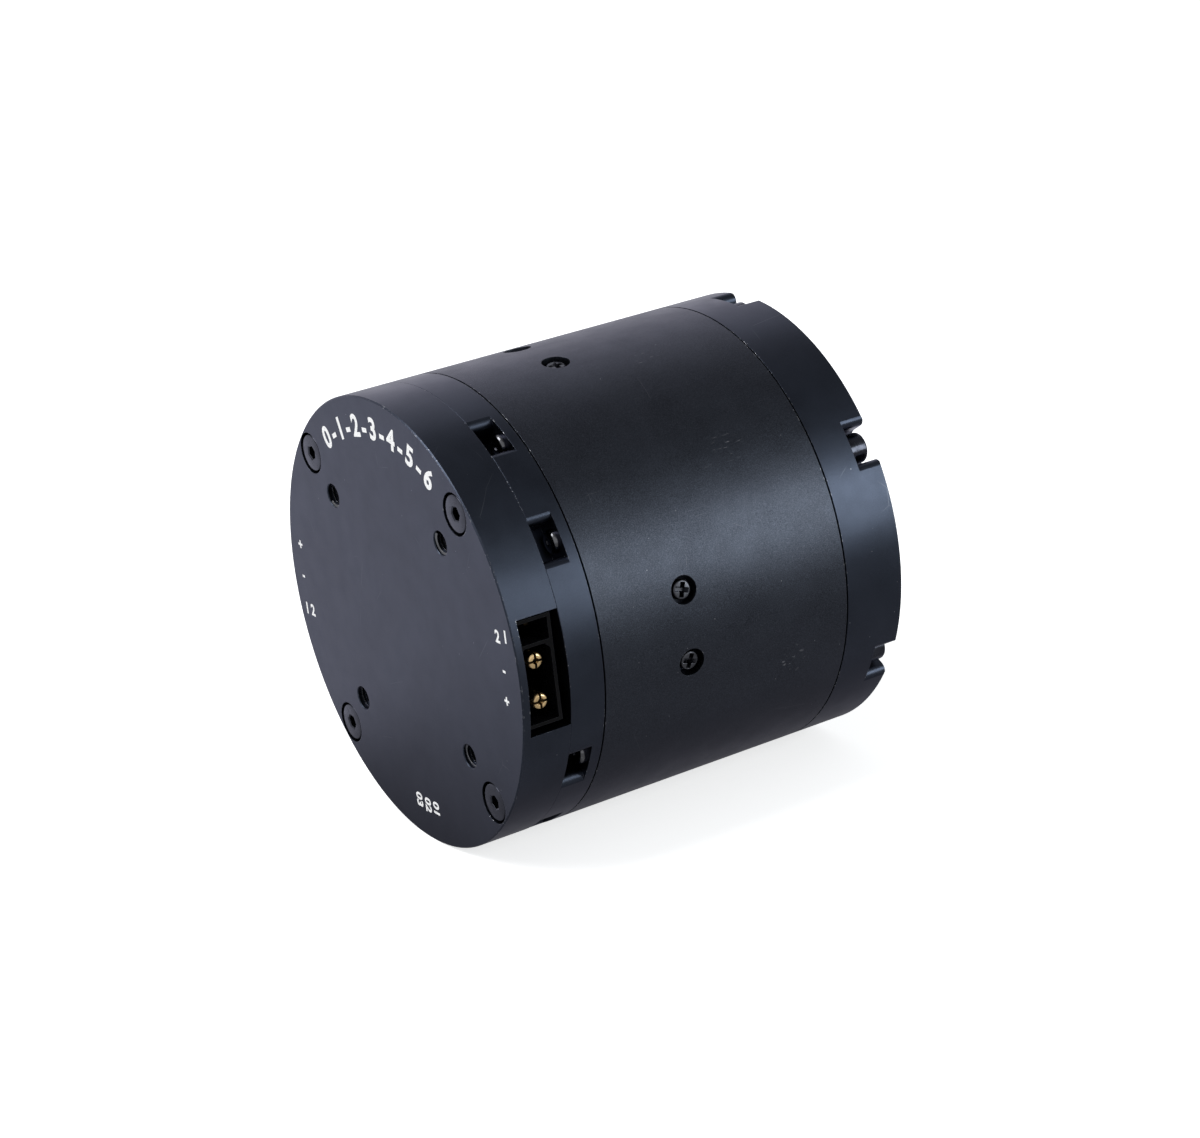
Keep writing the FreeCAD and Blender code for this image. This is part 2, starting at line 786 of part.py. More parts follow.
def make_rotor_bell():
    """Bell with its web in front of the coils, and a hub on the shaft."""
    bell = turned([
        (bell_rim_x, bell_bore), (bell_rim_x, bell_radius), (bell_front_x, bell_radius),
        (bell_front_x, shaft_radius), (bell_front_x - bell_hub_length, shaft_radius),
        (bell_front_x - bell_hub_length, bell_hub_radius), (bell_x, bell_hub_radius), (bell_x, bell_bore)])
    holes = [rod(bell_hole_radius, bell_x - past, bell_front_x + past, at(bell_hole_circle, a))
             for a in spread(bell_hole_count)]
    return cut_all(bell, holes)


def make_rotor_magnets():
    """Flat bar magnets inside the bell."""
    half = magnet_width / 2
    bar = box(magnet_x, magnet_front_x, magnet_radius, magnet_radius + magnet_thickness, -half, half)
    return [about_axis(bar, a) for a in spread(magnet_count)]


shaft_rear_x = web_x
pinion_x = plate_front_x + pinion_setback
pinion_front_x = planet_1_x + stage_1_width + pinion_overrun
nose_x = carrier_1_x + pinion_nose


def make_rotor_shaft():
    """Stepped shaft through both rotor bearings, thinner where the sun pinion sits."""
    return turned([
        (shaft_rear_x, 0), (shaft_rear_x, shaft_radius), (pinion_x, shaft_radius),
        (pinion_x, pinion_shaft_radius), (nose_x, pinion_shaft_radius), (nose_x, 0)])


def make_sensor_magnet():
    """Round magnet on the shaft's rear end, which the sensor chip reads."""
    return rod(sensor_magnet_radius, shaft_rear_x - sensor_magnet_thickness, shaft_rear_x)


def outer_race(x0):
    """Outer ring of a small bearing."""
    return ring(bearing_outer_radius, bearing_outer_radius - bearing_ring_wall, x0, x0 + bearing_width)


def inner_race(x0):
    """Inner ring of a small bearing, on a seat of the shaft's radius."""
    return ring(shaft_radius + bearing_ring_wall, shaft_radius, x0, x0 + bearing_width)


front_bearing_x = plate_x


def make_motor_plate():
    """Plate between motor and gears: front rotor bearing's seat, and threads for the side screws."""
    lip_x = front_bearing_x + bearing_width
    relief = ring(plate_radius - plate_relief_rim, boss_radius + plate_relief_hub,
                  plate_x - past, plate_x + plate_relief_depth)
    lip_bore = bearing_outer_radius - plate_lip
    body = turned([
        (plate_x, bearing_outer_radius), (plate_x, plate_radius), (plate_front_x, plate_radius),
        (plate_front_x, lip_bore), (lip_x, lip_bore),
        (lip_x, bearing_outer_radius)])
    thread_end = plate_radius - side_screw_bite - thread_end_gap
    threads = [radial_rod(side_shank_radius, thread_end, plate_radius + past, a) for a in side_screw_angles]
    return cut_all(body.cut(relief), threads)


# Gear train

def involute(angle):
    """Involute function of an angle in radians."""
    return math.tan(angle) - angle


def tooth_outline(teeth, module, outer, inner, thinning, chords, phase):
    """Closed outline of a toothed disc, as points in the plane across the axis.

    Flanks are involutes in a few chords between the inner and outer radius; below the base circle they run
    straight to the axis. One tooth is centred on the phase angle.
    """
    pitch = module * teeth / 2
    pressure = math.radians(pressure_angle)
    base = pitch * math.cos(pressure)
    half_at_base = math.pi / (2 * teeth) - thinning / (2 * pitch) + involute(pressure)
    start = max(inner, base)
    radii = [start + (outer - start) * i / chords for i in range(chords + 1)]
    flank = [(r, half_at_base - involute(math.acos(base / r))) for r in radii]
    if inner < base:
        flank.insert(0, (inner, half_at_base))
    points = []
    for i in range(teeth):
        middle = math.radians(phase) + 2 * math.pi * i / teeth
        side = [(r, middle - half) for r, half in flank]
        side += [(r, middle + half) for r, half in reversed(flank)]
        points += [V(0, r * math.cos(a), r * math.sin(a)) for r, a in side]
    return points


def toothed_bar(points, x0, x1):
    """Solid bar from a toothed outline."""
    face = Part.Face(Part.makePolygon(points + points[:1]))
    bar = face.extrude(V(x1 - x0, 0, 0))
    bar.translate(V(x0, 0, 0))
    return bar


def external_gear(teeth, module, x0, x1, chords, phase):
    """Outward teeth, without a bore."""
    pitch = module * teeth / 2
    outline = tooth_outline(teeth, module, pitch + addendum_factor * module, pitch - dedendum_factor * module,
                            tooth_thinning, chords, phase)
    return toothed_bar(outline, x0, x1)


def internal_gear(teeth, module, outer_radius, x0, x1, chords, phase):
    """Ring with inward teeth; a tooth space is centred on the phase angle."""
    pitch = module * teeth / 2
    outline = tooth_outline(teeth, module, pitch + dedendum_factor * module, pitch - addendum_factor * module,
                            -tooth_thinning, chords, phase)
    return rod(outer_radius, x0, x1).cut(toothed_bar(outline, x0 - past, x1 + past))


def planet_phase(teeth, angle):
    """Angle of a planet's tooth, so that it meshes with a sun that has a tooth at angle 0."""
    sun, planet, _ = teeth
    offset = (angle * sun / 360.0) % 1.0
    return angle + 180.0 + (offset + 0.5) * 360.0 / planet


def ring_phase(teeth, angle):
    """Angle of a tooth space of the ring, so that it meshes with the planet at this angle."""
    _, planet, ring_teeth = teeth
    offset = ((angle - planet_phase(teeth, angle)) * planet / 360.0) % 1.0
    return angle - offset * 360.0 / ring_teeth


planet_angles = spread(planet_count, planet_first_angle)
planet_points_1 = [at(centre_distance_1, a) for a in planet_angles]
planet_points_2 = [at(centre_distance_2, a) for a in planet_angles]


def make_planet(teeth, module, chords, distance, pin_radius, x0, width, angle):
    """Planet gear on its pin."""
    phase = planet_phase(teeth, angle)
    gear = external_gear(teeth[1], module, x0, x0 + width, chords[1], phase)
    gear = gear.cut(rod(pin_radius + running_gap, x0 - past, x0 + width + past))
    gear.translate(at(distance, angle))
    return gear


def make_sun_pinion():
    """Sun of the first stage, on the rotor shaft."""
    gear = external_gear(stage_1_tooth_counts[0], stage_1_module, pinion_x, pinion_front_x,
                         stage_1_chord_counts[0], 0.0)
    return gear.cut(rod(pinion_shaft_radius, pinion_x - past, pinion_front_x + past))


def make_ring_gear_1():
    """Fixed ring gear of the first stage."""
    phase = ring_phase(stage_1_tooth_counts, planet_first_angle)
    return internal_gear(stage_1_tooth_counts[2], stage_1_module, plate_radius, plate_front_x, ring_2_x,
                         stage_1_chord_counts[2], phase)


def make_ring_gear_2():
    """Fixed ring gear of the second stage, against the barrel's shoulder."""
    phase = ring_phase(stage_2_tooth_counts, planet_first_angle)
    return internal_gear(stage_2_tooth_counts[2], stage_2_module, plate_radius, ring_2_x, ring_2_front_x,
                         stage_2_chord_counts[2], phase)


def make_carrier_1():
    """Carrier plate of the first stage, a rounded triangle round its three pins."""
    lobes = rods(pin_1_radius + carrier_1_rim, carrier_1_x, carrier_1_front_x, planet_points_1)
    body = rod(centre_distance_1 - carrier_1_hub_inset, carrier_1_x, carrier_1_front_x).fuse(lobes)
    tools = rods(pin_1_radius, carrier_1_x - past, carrier_1_front_x + past, planet_points_1)
    tools.append(rod(sun_2_neck_radius, carrier_1_x - past, carrier_1_front_x + past))
    return cut_all(body, tools).removeSplitter()


def make_pins_1():
    """Planet pins of the first stage, pressed into the carrier plate."""
    return rods(pin_1_radius, plate_front_x + pin_end_gap, carrier_1_front_x, planet_points_1)


sun_2_x = carrier_1_front_x
sun_2_front_x = carrier_2_x - sun_2_shortening
middle_bearing_x = carrier_2_x
pin_2_front_x = front_x - pin_2_blind


def make_sun_gear_2():
    """Sun of the second stage: neck in the first carrier, teeth, and a journal for the middle bearing."""
    gear = external_gear(stage_2_tooth_counts[0], stage_2_module, sun_2_x, sun_2_front_x,
                         stage_2_chord_counts[0], 0.0)
    neck = rod(sun_2_neck_radius, carrier_1_x, sun_2_x)
    journal = rod(shaft_radius, sun_2_front_x, middle_bearing_x + bearing_width)
    body = gear.fuse([neck, journal])
    return body.cut(rod(pinion_shaft_radius + running_gap, carrier_1_x - past, nose_x + nose_gap))


def make_output_carrier():
    """Output carrier: holes for the planet pins, middle bearing's seat, shoulder for the inner ring."""
    body = rod(carrier_shoulder_radius, carrier_2_x, front_x)
    tools = rods(pin_2_radius, carrier_2_x - past, pin_2_front_x, planet_points_2)
    tools.append(rod(bearing_outer_radius, carrier_2_x - past, middle_bearing_x + bearing_width))
    tools.append(rod(carrier_bore_radius, carrier_2_x - past, front_x + past))
    tools += rods(flange_screw_shank_radius, flange_screw_tip - thread_end_gap, front_x + past,
                  flange_screw_points)
    return cut_all(body, tools)


def make_pins_2():
    """Planet pins of the second stage, pressed into the output carrier."""
    rear = carrier_1_front_x + pin_end_gap
    return rods(pin_2_radius, rear, pin_2_front_x, planet_points_2)


# Output side

flange_screw_angles = spread(flange_screw_count, flange_screw_first_angle)
flange_screw_points = [at(flange_screw_circle, a) for a in flange_screw_angles]
flange_screw_seat_x = output_x - flange_screw_head_height - flange_screw_head_sink
flange_screw_tip = front_x - flange_screw_bite


def make_output_bearing_outer():
    """Outer ring of the output bearing, clamped between the barrel and the front ring's lip."""
    return ring(output_bearing_radius, output_race_inner, front_x, seat_x)


def make_output_bearing_inner():
    """Inner ring of the output bearing, clamped between the output carrier and the flange."""
    return ring(output_race_outer, output_bearing_bore, front_x, seat_x)


def make_output_seal():
    """Flat seal ring in the front ring's mouth."""
    front = face_x - seal_setback
    return ring(mouth_radius, seal_bore, front - seal_length, front)


def make_output_flange():
    """Output flange: spigot through the inner ring, tapped holes, dowel holes and centring bore."""
    body = turned([
        (front_x, 0), (front_x, output_bearing_bore), (seat_x, output_bearing_bore), (seat_x, flange_radius),
        (output_x - flange_edge_chamfer, flange_radius), (output_x, flange_radius - flange_edge_chamfer),
        (output_x, pilot_radius), (output_x - pilot_depth, pilot_radius), (output_x - pilot_depth, 0)])
    hole_end = output_x - output_hole_depth
    dowel_end = output_x - dowel_depth
    tools = [rod(output_hole_radius, hole_end, output_x + past, at(output_hole_circle, a))
             for a in spread(output_hole_count)]
    tools += [rod(dowel_radius, dowel_end, output_x + past, at(output_hole_circle, a)) for a in dowel_angles]
    head_hole = flange_screw_head_radius + flange_screw_head_gap
    tools += rods(head_hole, flange_screw_seat_x, output_x + past, flange_screw_points)
    tools += rods(flange_screw_shank_radius + screw_clearance, front_x - past, output_x, flange_screw_points)
    return cut_all(body, tools)


def make_flange_screws():
    """Socket screws that clamp the flange, the inner bearing ring and the output carrier together."""
    return [axial_screw(p, flange_screw_seat_x, flange_screw_head_height, flange_screw_head_radius,
                        flange_screw_shank_radius, flange_screw_tip, flange_hex_flats, flange_hex_depth)
            for p in flange_screw_points]


def main():
    """Build every node and write it."""
    os.makedirs("parts", exist_ok=True)
    nodes = {
        "rear_cover": [make_rear_cover()],
        "cover_screws": make_cover_screws(),
        "rear_frame": [make_rear_frame()],
        "frame_screws": make_frame_screws(),
        "main_barrel": [make_main_barrel()],
        "side_screws": make_side_screws(),
        "front_ring": [make_front_ring()],
        "front_screws": make_front_screws(),
        "power_socket_front": [make_power_socket()],
        "power_socket_back": [about_axis(make_power_socket(), 180)],
        "power_pins": make_power_pins(),
        "signal_pins": make_signal_pins(),
        "serial_socket": [make_serial_socket()],
        "serial_pins": make_serial_pins(),
        "driver_board": [make_driver_board()],
        "board_screws": make_board_screws(),
        "board_chips": make_board_chips(),
        "sensor_chip": [make_sensor_chip()],
        "stator_core": [make_stator_core()],
        "stator_coils": make_stator_coils(),
        "phase_leads": make_phase_leads(),
        "rotor_bell": [make_rotor_bell()],
        "rotor_magnets": make_rotor_magnets(),
        "rotor_shaft": [make_rotor_shaft()],
        "sensor_magnet": [make_sensor_magnet()],
        "rear_bearing_outer": [outer_race(rear_bearing_x)],
        "rear_bearing_inner": [inner_race(rear_bearing_x)],
        "front_bearing_outer": [outer_race(front_bearing_x)],
        "front_bearing_inner": [inner_race(front_bearing_x)],
        "motor_plate": [make_motor_plate()],
        "sun_pinion": [make_sun_pinion()],
        "ring_gear_1": [make_ring_gear_1()],
        "carrier_1": [make_carrier_1()],
        "planet_pins_1": make_pins_1(),
        "sun_gear_2": [make_sun_gear_2()],
        "ring_gear_2": [make_ring_gear_2()],
        "middle_bearing_outer": [outer_race(middle_bearing_x)],
        "middle_bearing_inner": [inner_race(middle_bearing_x)],
        "output_carrier": [make_output_carrier()],
        "planet_pins_2": make_pins_2(),
        "output_bearing_outer": [make_output_bearing_outer()],
        "output_bearing_inner": [make_output_bearing_inner()],
        "output_seal": [make_output_seal()],
        "output_flange": [make_output_flange()],
        "flange_screws": make_flange_screws(),
    }
    for number, angle in enumerate(planet_angles, start=1):
        nodes["planet_1_%d" % number] = [make_planet(
            stage_1_tooth_counts, stage_1_module, stage_1_chord_counts, centre_distance_1,
            pin_1_radius, planet_1_x, stage_1_width, angle)]
        nodes["planet_2_%d" % number] = [make_planet(
            stage_2_tooth_counts, stage_2_module, stage_2_chord_counts, centre_distance_2,
            pin_2_radius, planet_2_x, stage_2_width, angle)]
    for name, solids in nodes.items():
        export(name, solids)
    print("nodes", len(nodes))


main()
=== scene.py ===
"""Looks of a geared robot joint actuator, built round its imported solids.

The joint axis is +X, the rear mounting face is at x = 0 and faces -X, +Z is up, and the front power
socket faces -Y. Blender works in metres. Sizes of the object's pieces and finishes are in millimetres and
are scaled by MM; the studio's are in metres. Angles on the rear face are counted as a viewer of that face
does: 0 is -Y (right), 90 is +Z (up).
"""

import json
import logging
import math
from dataclasses import dataclass
from enum import Enum

import bmesh
import bpy
from mathutils import Matrix, Vector

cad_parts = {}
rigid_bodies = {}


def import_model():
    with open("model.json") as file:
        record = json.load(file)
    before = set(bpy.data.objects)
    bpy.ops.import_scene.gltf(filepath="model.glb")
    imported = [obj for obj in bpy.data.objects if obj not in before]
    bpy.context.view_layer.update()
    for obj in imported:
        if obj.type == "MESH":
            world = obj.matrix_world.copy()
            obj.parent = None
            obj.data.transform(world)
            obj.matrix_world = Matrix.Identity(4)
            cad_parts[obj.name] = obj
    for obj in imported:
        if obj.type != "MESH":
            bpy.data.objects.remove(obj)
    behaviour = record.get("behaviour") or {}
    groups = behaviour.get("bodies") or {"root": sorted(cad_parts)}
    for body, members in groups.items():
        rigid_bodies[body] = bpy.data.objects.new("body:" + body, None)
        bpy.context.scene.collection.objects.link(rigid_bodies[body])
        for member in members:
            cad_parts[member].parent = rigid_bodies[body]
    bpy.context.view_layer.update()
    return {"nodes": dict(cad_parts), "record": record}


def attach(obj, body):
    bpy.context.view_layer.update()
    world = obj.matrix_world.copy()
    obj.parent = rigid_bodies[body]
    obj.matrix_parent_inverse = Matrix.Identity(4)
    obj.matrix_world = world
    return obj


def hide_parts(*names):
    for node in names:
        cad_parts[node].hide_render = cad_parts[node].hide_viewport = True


for leftover in list(bpy.data.objects):
    bpy.data.objects.remove(leftover)
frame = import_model()

LOG = logging.getLogger("actuator")
MM = 0.001
Colour = tuple[float, float, float]
Triple = tuple[float, float, float]
Point = tuple[float, float]
Socket = bpy.types.NodeSocket
Material = bpy.types.Material
Mesh = bpy.types.Mesh

# Points nearer to the axis than this, in millimetres, become poles
ON_AXIS = 1e-6
# Corners nearer to each other than this, in metres, are merged
WELD = 1e-8
# How far cutters reach past what they cut, in millimetres
CLEAR = 0.5
# An axis whose x is below this points straight back
STRAIGHT_BACK = -0.99


class Body(Enum):
    """Rigid bodies that the pieces ride on."""

    HOUSING = "housing"
    OUTPUT = "output"


class Slot(Enum):
    """Material slots of the record that the new pieces use."""

    ANODISED = "anodised_satin"
    OXIDE = "black_oxide"
    GOLD = "gold_plate"


class Surface(Enum):
    """Ways in which a metal's surface was made."""

    TURNED = "turned"
    GROUND = "ground"
    PLATED = "plated"
    CUT = "cut"
    SHEETS = "sheets"
    WIRE = "wire"


# Helpers for meshes

def lathe(profile: list[Point], segments: int) -> Mesh:
    """Turn an outline about the local X axis.

    Args:
        profile: (x, radius) points in millimetres, from one end of the axis to the other.
        segments: number of steps round the axis.

    Returns:
        A closed mesh in metres; points at radius 0 become poles.
    """
    mesh = bmesh.new()
    rings = []
    for x, radius in profile:
        if radius < ON_AXIS:
            rings.append([mesh.verts.new((x * MM, 0, 0))])
            continue
        turns = [2 * math.pi * i / segments for i in range(segments)]
        spots = [(x * MM, radius * MM * math.cos(a), radius * MM * math.sin(a)) for a in turns]
        rings.append([mesh.verts.new(spot) for spot in spots])
    for low, high in zip(rings, rings[1:]):
        for i in range(segments):
            j = (i + 1) % segments
            if len(low) == 1 and len(high) > 1:
                mesh.faces.new((low[0], high[j], high[i]))
            elif len(high) == 1 and len(low) > 1:
                mesh.faces.new((low[i], low[j], high[0]))
            elif len(low) > 1:
                mesh.faces.new((low[i], low[j], high[j], high[i]))
    return finished(mesh)


def crown(height: float, radius: float, rounding: float, steps: int) -> list[Point]:
    """Outline of a rounded rim for a lathe, from its side to its top at a height."""
    turns = [math.pi / 2 * i / steps for i in range(steps + 1)]
    return [(height - rounding * (1 - math.sin(a)), radius - rounding * (1 - math.cos(a))) for a in turns]


def cross(arm: float, half: float) -> tuple[list[Point], list[Point]]:
    """Outlines of two bars that cross on the axis, by their reach and half their width."""
    return ([(-arm, -half), (arm, -half), (arm, half), (-arm, half)],
            [(-half, -arm), (half, -arm), (half, arm), (-half, arm)])


def prism(outline: list[Point], x0: float, x1: float, shrink: float = 1.0) -> Mesh:
    """Straight or tapered bar along the local X axis.

    Args:
        outline: (y, z) corners in millimetres.
        x0: start along the axis.
        x1: end along the axis.
        shrink: size of the outline at the start, as a share of that at the end.

    Returns:
        A closed mesh in metres.
    """
    mesh = bmesh.new()
    low = [mesh.verts.new((x0 * MM, y * shrink * MM, z * shrink * MM)) for y, z in outline]
    high = [mesh.verts.new((x1 * MM, y * MM, z * MM)) for y, z in outline]
    mesh.faces.new(low)
    mesh.faces.new(high)
    for i in range(len(outline)):
        j = (i + 1) % len(outline)
        mesh.faces.new((low[i], low[j], high[j], high[i]))
    return finished(mesh)


def finished(mesh: bmesh.types.BMesh) -> Mesh:
    """Close a bmesh into a mesh whose faces point outwards.

    Args:
        mesh: the bmesh, which is freed.

    Returns:
        The mesh.
    """
    bmesh.ops.remove_doubles(mesh, verts=mesh.verts, dist=WELD)
    bmesh.ops.recalc_face_normals(mesh, faces=mesh.faces)
    result = bpy.data.meshes.new("mesh")
    mesh.to_mesh(result)
    mesh.free()
    return result


def joined(name: str, meshes: list[Mesh]) -> Mesh:
    """One mesh of several.

    Args:
        name: the new mesh's name.
        meshes: meshes that are in place already.

    Returns:
        The new mesh.
    """
    group = bmesh.new()
    for mesh in meshes:
        group.from_mesh(mesh)
    result = bpy.data.meshes.new(name)
    group.to_mesh(result)
    group.free()
    return result


def placed(name: str, data: bpy.types.ID) -> bpy.types.Object:
    """Object at the origin that shows a mesh, or holds a curve, lamp or camera.

    Args:
        name: the object's name.
        data: what it shows or holds.

    Returns:
        The object.
    """
    obj = bpy.data.objects.new(name, data)
    bpy.context.scene.collection.objects.link(obj)
    return obj


def plain(obj: bpy.types.Object) -> Mesh:
    """Result of an object's modifiers as a mesh of its own; the object is removed.

    Args:
        obj: object with live modifiers, or a text.

    Returns:
        The evaluated mesh, with nothing left live.
    """
    bpy.context.view_layer.update()
    evaluated = obj.evaluated_get(bpy.context.evaluated_depsgraph_get())
    mesh = bpy.data.meshes.new_from_object(evaluated)
    bpy.data.objects.remove(obj)
    return mesh


def carved(mesh: Mesh, cutters: list[Mesh]) -> Mesh:
    """Mesh less all the cutters.

    Args:
        mesh: closed mesh to cut.
        cutters: closed meshes to take away.

    Returns:
        The cut mesh.
    """
    target = placed("target", mesh)
    tools = [placed("cutter", cutter) for cutter in cutters]
    for tool in tools:
        cut = target.modifiers.new("cut", "BOOLEAN")
        cut.operation = "DIFFERENCE"
        cut.solver = "EXACT"
        cut.object = tool
    result = plain(target)
    for tool in tools:
        bpy.data.objects.remove(tool)
    return result


def facing(mesh: Mesh, axis: Triple) -> Mesh:
    """Turn a mesh so that its local +X points along an axis.

    Args:
        mesh: the mesh, which is turned itself.
        axis: unit vector.

    Returns:
        The same mesh.
    """
    turn = Vector((1.0, 0.0, 0.0)).rotation_difference(Vector(axis))
    if axis[0] < STRAIGHT_BACK:
        turn = Matrix.Rotation(math.pi, 3, "Z").to_quaternion()
    mesh.transform(turn.to_matrix().to_4x4())
    return mesh


def smoothed(mesh: Mesh, angle: float = 32.0) -> Mesh:
    """Shade a mesh smooth.

    Args:
        mesh: the mesh, which is shaded itself.
        angle: edges above it, in degrees, stay sharp.

    Returns:
        The same mesh.
    """
    mesh.shade_smooth()
    mesh.set_sharp_from_angle(angle=math.radians(angle))
    return mesh


def dressed(name: str, mesh: Mesh, body: Body, material: Material,
            nodes: tuple[str, ...] = ()) -> bpy.types.Object:
    """Make a finished piece of the object.

    Args:
        name: the piece's name.
        mesh: its mesh, in place.
        body: the body that it rides on.
        material: its finish.
        nodes: CAD nodes that it stands for.

    Returns:
        The new object.
    """
    mesh.materials.clear()
    mesh.materials.append(material)
    piece = placed(name, smoothed(mesh))
    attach(piece, body.value)
    if nodes:
        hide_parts(*nodes)
    LOG.info("%s: %d faces on %s", name, len(mesh.polygons), body.value)
    return piece


# Helpers for node trees

# Targets of a level: from nothing to all, and from all to nothing
RISE = (0.0, 1.0)
FALL = (1.0, 0.0)
# Range that most values of a noise lie in
MOST = (0.3, 0.7)
# Same density along each axis
EVEN = (1.0, 1.0, 1.0)
WHITE = (1.0, 1.0, 1.0)
# Length of one band of a wave texture at scale 1
BAND = math.pi / 10.0
# Numbers of a colour mix's sockets: both colours, and the result
FIRST, SECOND, MIXED = 6, 7, 2


class NodeTree:
    """A node tree, with short calls for adding, linking and sums."""

    def __init__(self, tree: bpy.types.NodeTree) -> None:
        """Take a tree to build in."""
        self.tree = tree

    def join(self, source: Socket, target: Socket) -> None:
        """Link two sockets."""
        self.tree.links.new(source, target)

    def add(self, kind: str, inputs: dict[str | int, object] | None = None,
            **settings: object) -> bpy.types.Node:
        """Add a node.

        Args:
            kind: the node's type.
            inputs: sockets to link or constants to set, by the name or number of its input.
            settings: its own properties by name.

        Returns:
            The new node.
        """
        node = self.tree.nodes.new(kind)
        for key, value in settings.items():
            setattr(node, key, value)
        for key, value in (inputs or {}).items():
            if isinstance(value, Socket):
                self.join(value, node.inputs[key])
            else:
                node.inputs[key].default_value = value
        return node

    def maths(self, operation: str, first: Socket, second: Socket | float = 0.0) -> Socket:
        """Result of one math node on two values."""
        return self.add("ShaderNodeMath", {0: first, 1: second}, operation=operation).outputs[0]

    def mixed(self, share: Socket, first: Socket, second: Socket) -> Socket:
        """Two shaders mixed, by the share of the second."""
        return self.add("ShaderNodeMixShader", {0: share, 1: first, 2: second}).outputs[0]


class Shader(NodeTree):
    """A material's node tree, with short calls for what the finishes share."""

    def __init__(self, name: str) -> None:
        """Start a material that reads Object coordinates.

        Args:
            name: the material's name.
        """
        self.material = bpy.data.materials.new(name)
        self.material.use_nodes = True
        super().__init__(self.material.node_tree)
        self.surface = self.tree.nodes["Principled BSDF"]
        self.place = self.add("ShaderNodeTexCoord").outputs["Object"]

    def fix(self, **values: float | Colour) -> None:
        """Set constants on the principled shader.

        Args:
            values: numbers or colours by the socket's name, with _ for a space.
        """
        for key, value in values.items():
            socket = self.surface.inputs[key.replace("_", " ")]
            socket.default_value = (*value, 1.0) if isinstance(value, tuple) else value

    def drive(self, key: str, source: Socket) -> None:
        """Link a pattern into one of the principled shader's sockets."""
        self.join(source, self.surface.inputs[key])

    def stretched(self, stretch: Triple) -> Socket:
        """Object coordinates scaled by a factor along each axis."""
        return self.add("ShaderNodeMapping", {"Scale": stretch, "Vector": self.place}).outputs["Vector"]

    def noise(self, size: float, detail: float = 3.0, stretch: Triple = EVEN) -> Socket:
        """Soft noise round 0.5, by the size of its grains in millimetres and its number of finer layers."""
        inputs = {"Scale": 1.0 / (size * MM), "Detail": detail, "Vector": self.stretched(stretch)}
        return self.add("ShaderNodeTexNoise", inputs).outputs["Fac"]

    def cells(self, size: float, feature: str = "F1") -> Socket:
        """Distance in a cell pattern, as a share of the cells' size in millimetres."""
        inputs = {"Scale": 1.0 / (size * MM), "Vector": self.place}
        return self.add("ShaderNodeTexVoronoi", inputs, feature=feature).outputs["Distance"]

    def wave(self, pitch: float, rings: bool, wobble: float = 0.0) -> Socket:
        """Fine lines: bands along X, or rings about the X axis.

        Args:
            pitch: distance from line to line in millimetres.
            rings: rings about the axis in place of bands along it.
            wobble: how far the lines stray.

        Returns:
            A socket from 0 to 1.
        """
        settings = {"wave_type": "RINGS", "rings_direction": "X"} if rings else {"wave_type": "BANDS"}
        inputs = {"Scale": BAND / (pitch * MM), "Vector": self.place, "Distortion": wobble, "Detail": 1.0}
        return self.add("ShaderNodeTexWave", inputs, **settings).outputs["Fac"]

    def radius(self) -> Socket:
        """Distance from the joint axis in metres."""
        across = self.stretched((0.0, 1.0, 1.0))
        return self.add("ShaderNodeVectorMath", {0: across}, operation="LENGTH").outputs["Value"]

    def away(self, centre: Triple) -> Socket:
        """Distance in metres from a point of the object, which is given in millimetres."""
        inputs = {0: self.place, 1: tuple(MM * c for c in centre)}
        return self.add("ShaderNodeVectorMath", inputs, operation="DISTANCE").outputs["Value"]

    def level(self, value: Socket, source: Point, target: Point = RISE) -> Socket:
        """Map one range of values onto another, with the ends held."""
        names = ("Value", "From Min", "From Max", "To Min", "To Max")
        return self.add("ShaderNodeMapRange", dict(zip(names, (value, *source, *target)))).outputs["Result"]

    def rub(self, pattern: Socket, roughness: float, below: float, above: float) -> None:
        """Vary the roughness by a noise, as far below and above its middle value as given."""
        self.drive("Roughness", self.level(pattern, MOST, (roughness - below, roughness + above)))

    def blend(self, share: Socket, low: Colour | Socket, high: Colour) -> Socket:
        """Two colours mixed, by the share of the second."""
        inputs = {"Factor": share, FIRST: (*low, 1.0) if isinstance(low, tuple) else low,
                  SECOND: (*high, 1.0)}
        return self.add("ShaderNodeMix", inputs, data_type="RGBA").outputs[MIXED]

    def rounding(self, radius: float, samples: int = 4) -> Socket:
        """Normal that runs softly over edges, as if they had a radius in millimetres."""
        return self.add("ShaderNodeBevel", {"Radius": radius * MM}, samples=samples).outputs["Normal"]

    def edge_mask(self, normal: Socket, cosines: Point = (0.80, 0.99)) -> Socket:
        """Share from 1 on rounded edges to 0 on flats.

        Args:
            normal: the rounded normal.
            cosines: cosines of its angle to the face's own normal, on an edge and on a flat.

        Returns:
            The share's socket.
        """
        own = self.add("ShaderNodeNewGeometry").outputs["Normal"]
        dot = self.add("ShaderNodeVectorMath", {0: normal, 1: own}, operation="DOT_PRODUCT")
        return self.level(dot.outputs["Value"], cosines, FALL)

    def relief(self, layers: list[tuple[Socket, float]], normal: Socket | None = None) -> None:
        """Stack bumps on the surface.

        Args:
            layers: one or more height patterns, each with its depth in millimetres.
            normal: the normal that they start from.
        """
        for height, depth in layers:
            inputs = {"Distance": depth * MM, "Height": height}
            if normal is not None:
                inputs["Normal"] = normal
            normal = self.add("ShaderNodeBump", inputs).outputs["Normal"]
        self.drive("Normal", normal)


# Finishes

def shaded(colour: Colour, factor: float) -> Colour:
    """A colour times a factor, held at white."""
    return tuple(min(1.0, factor * c) for c in colour)


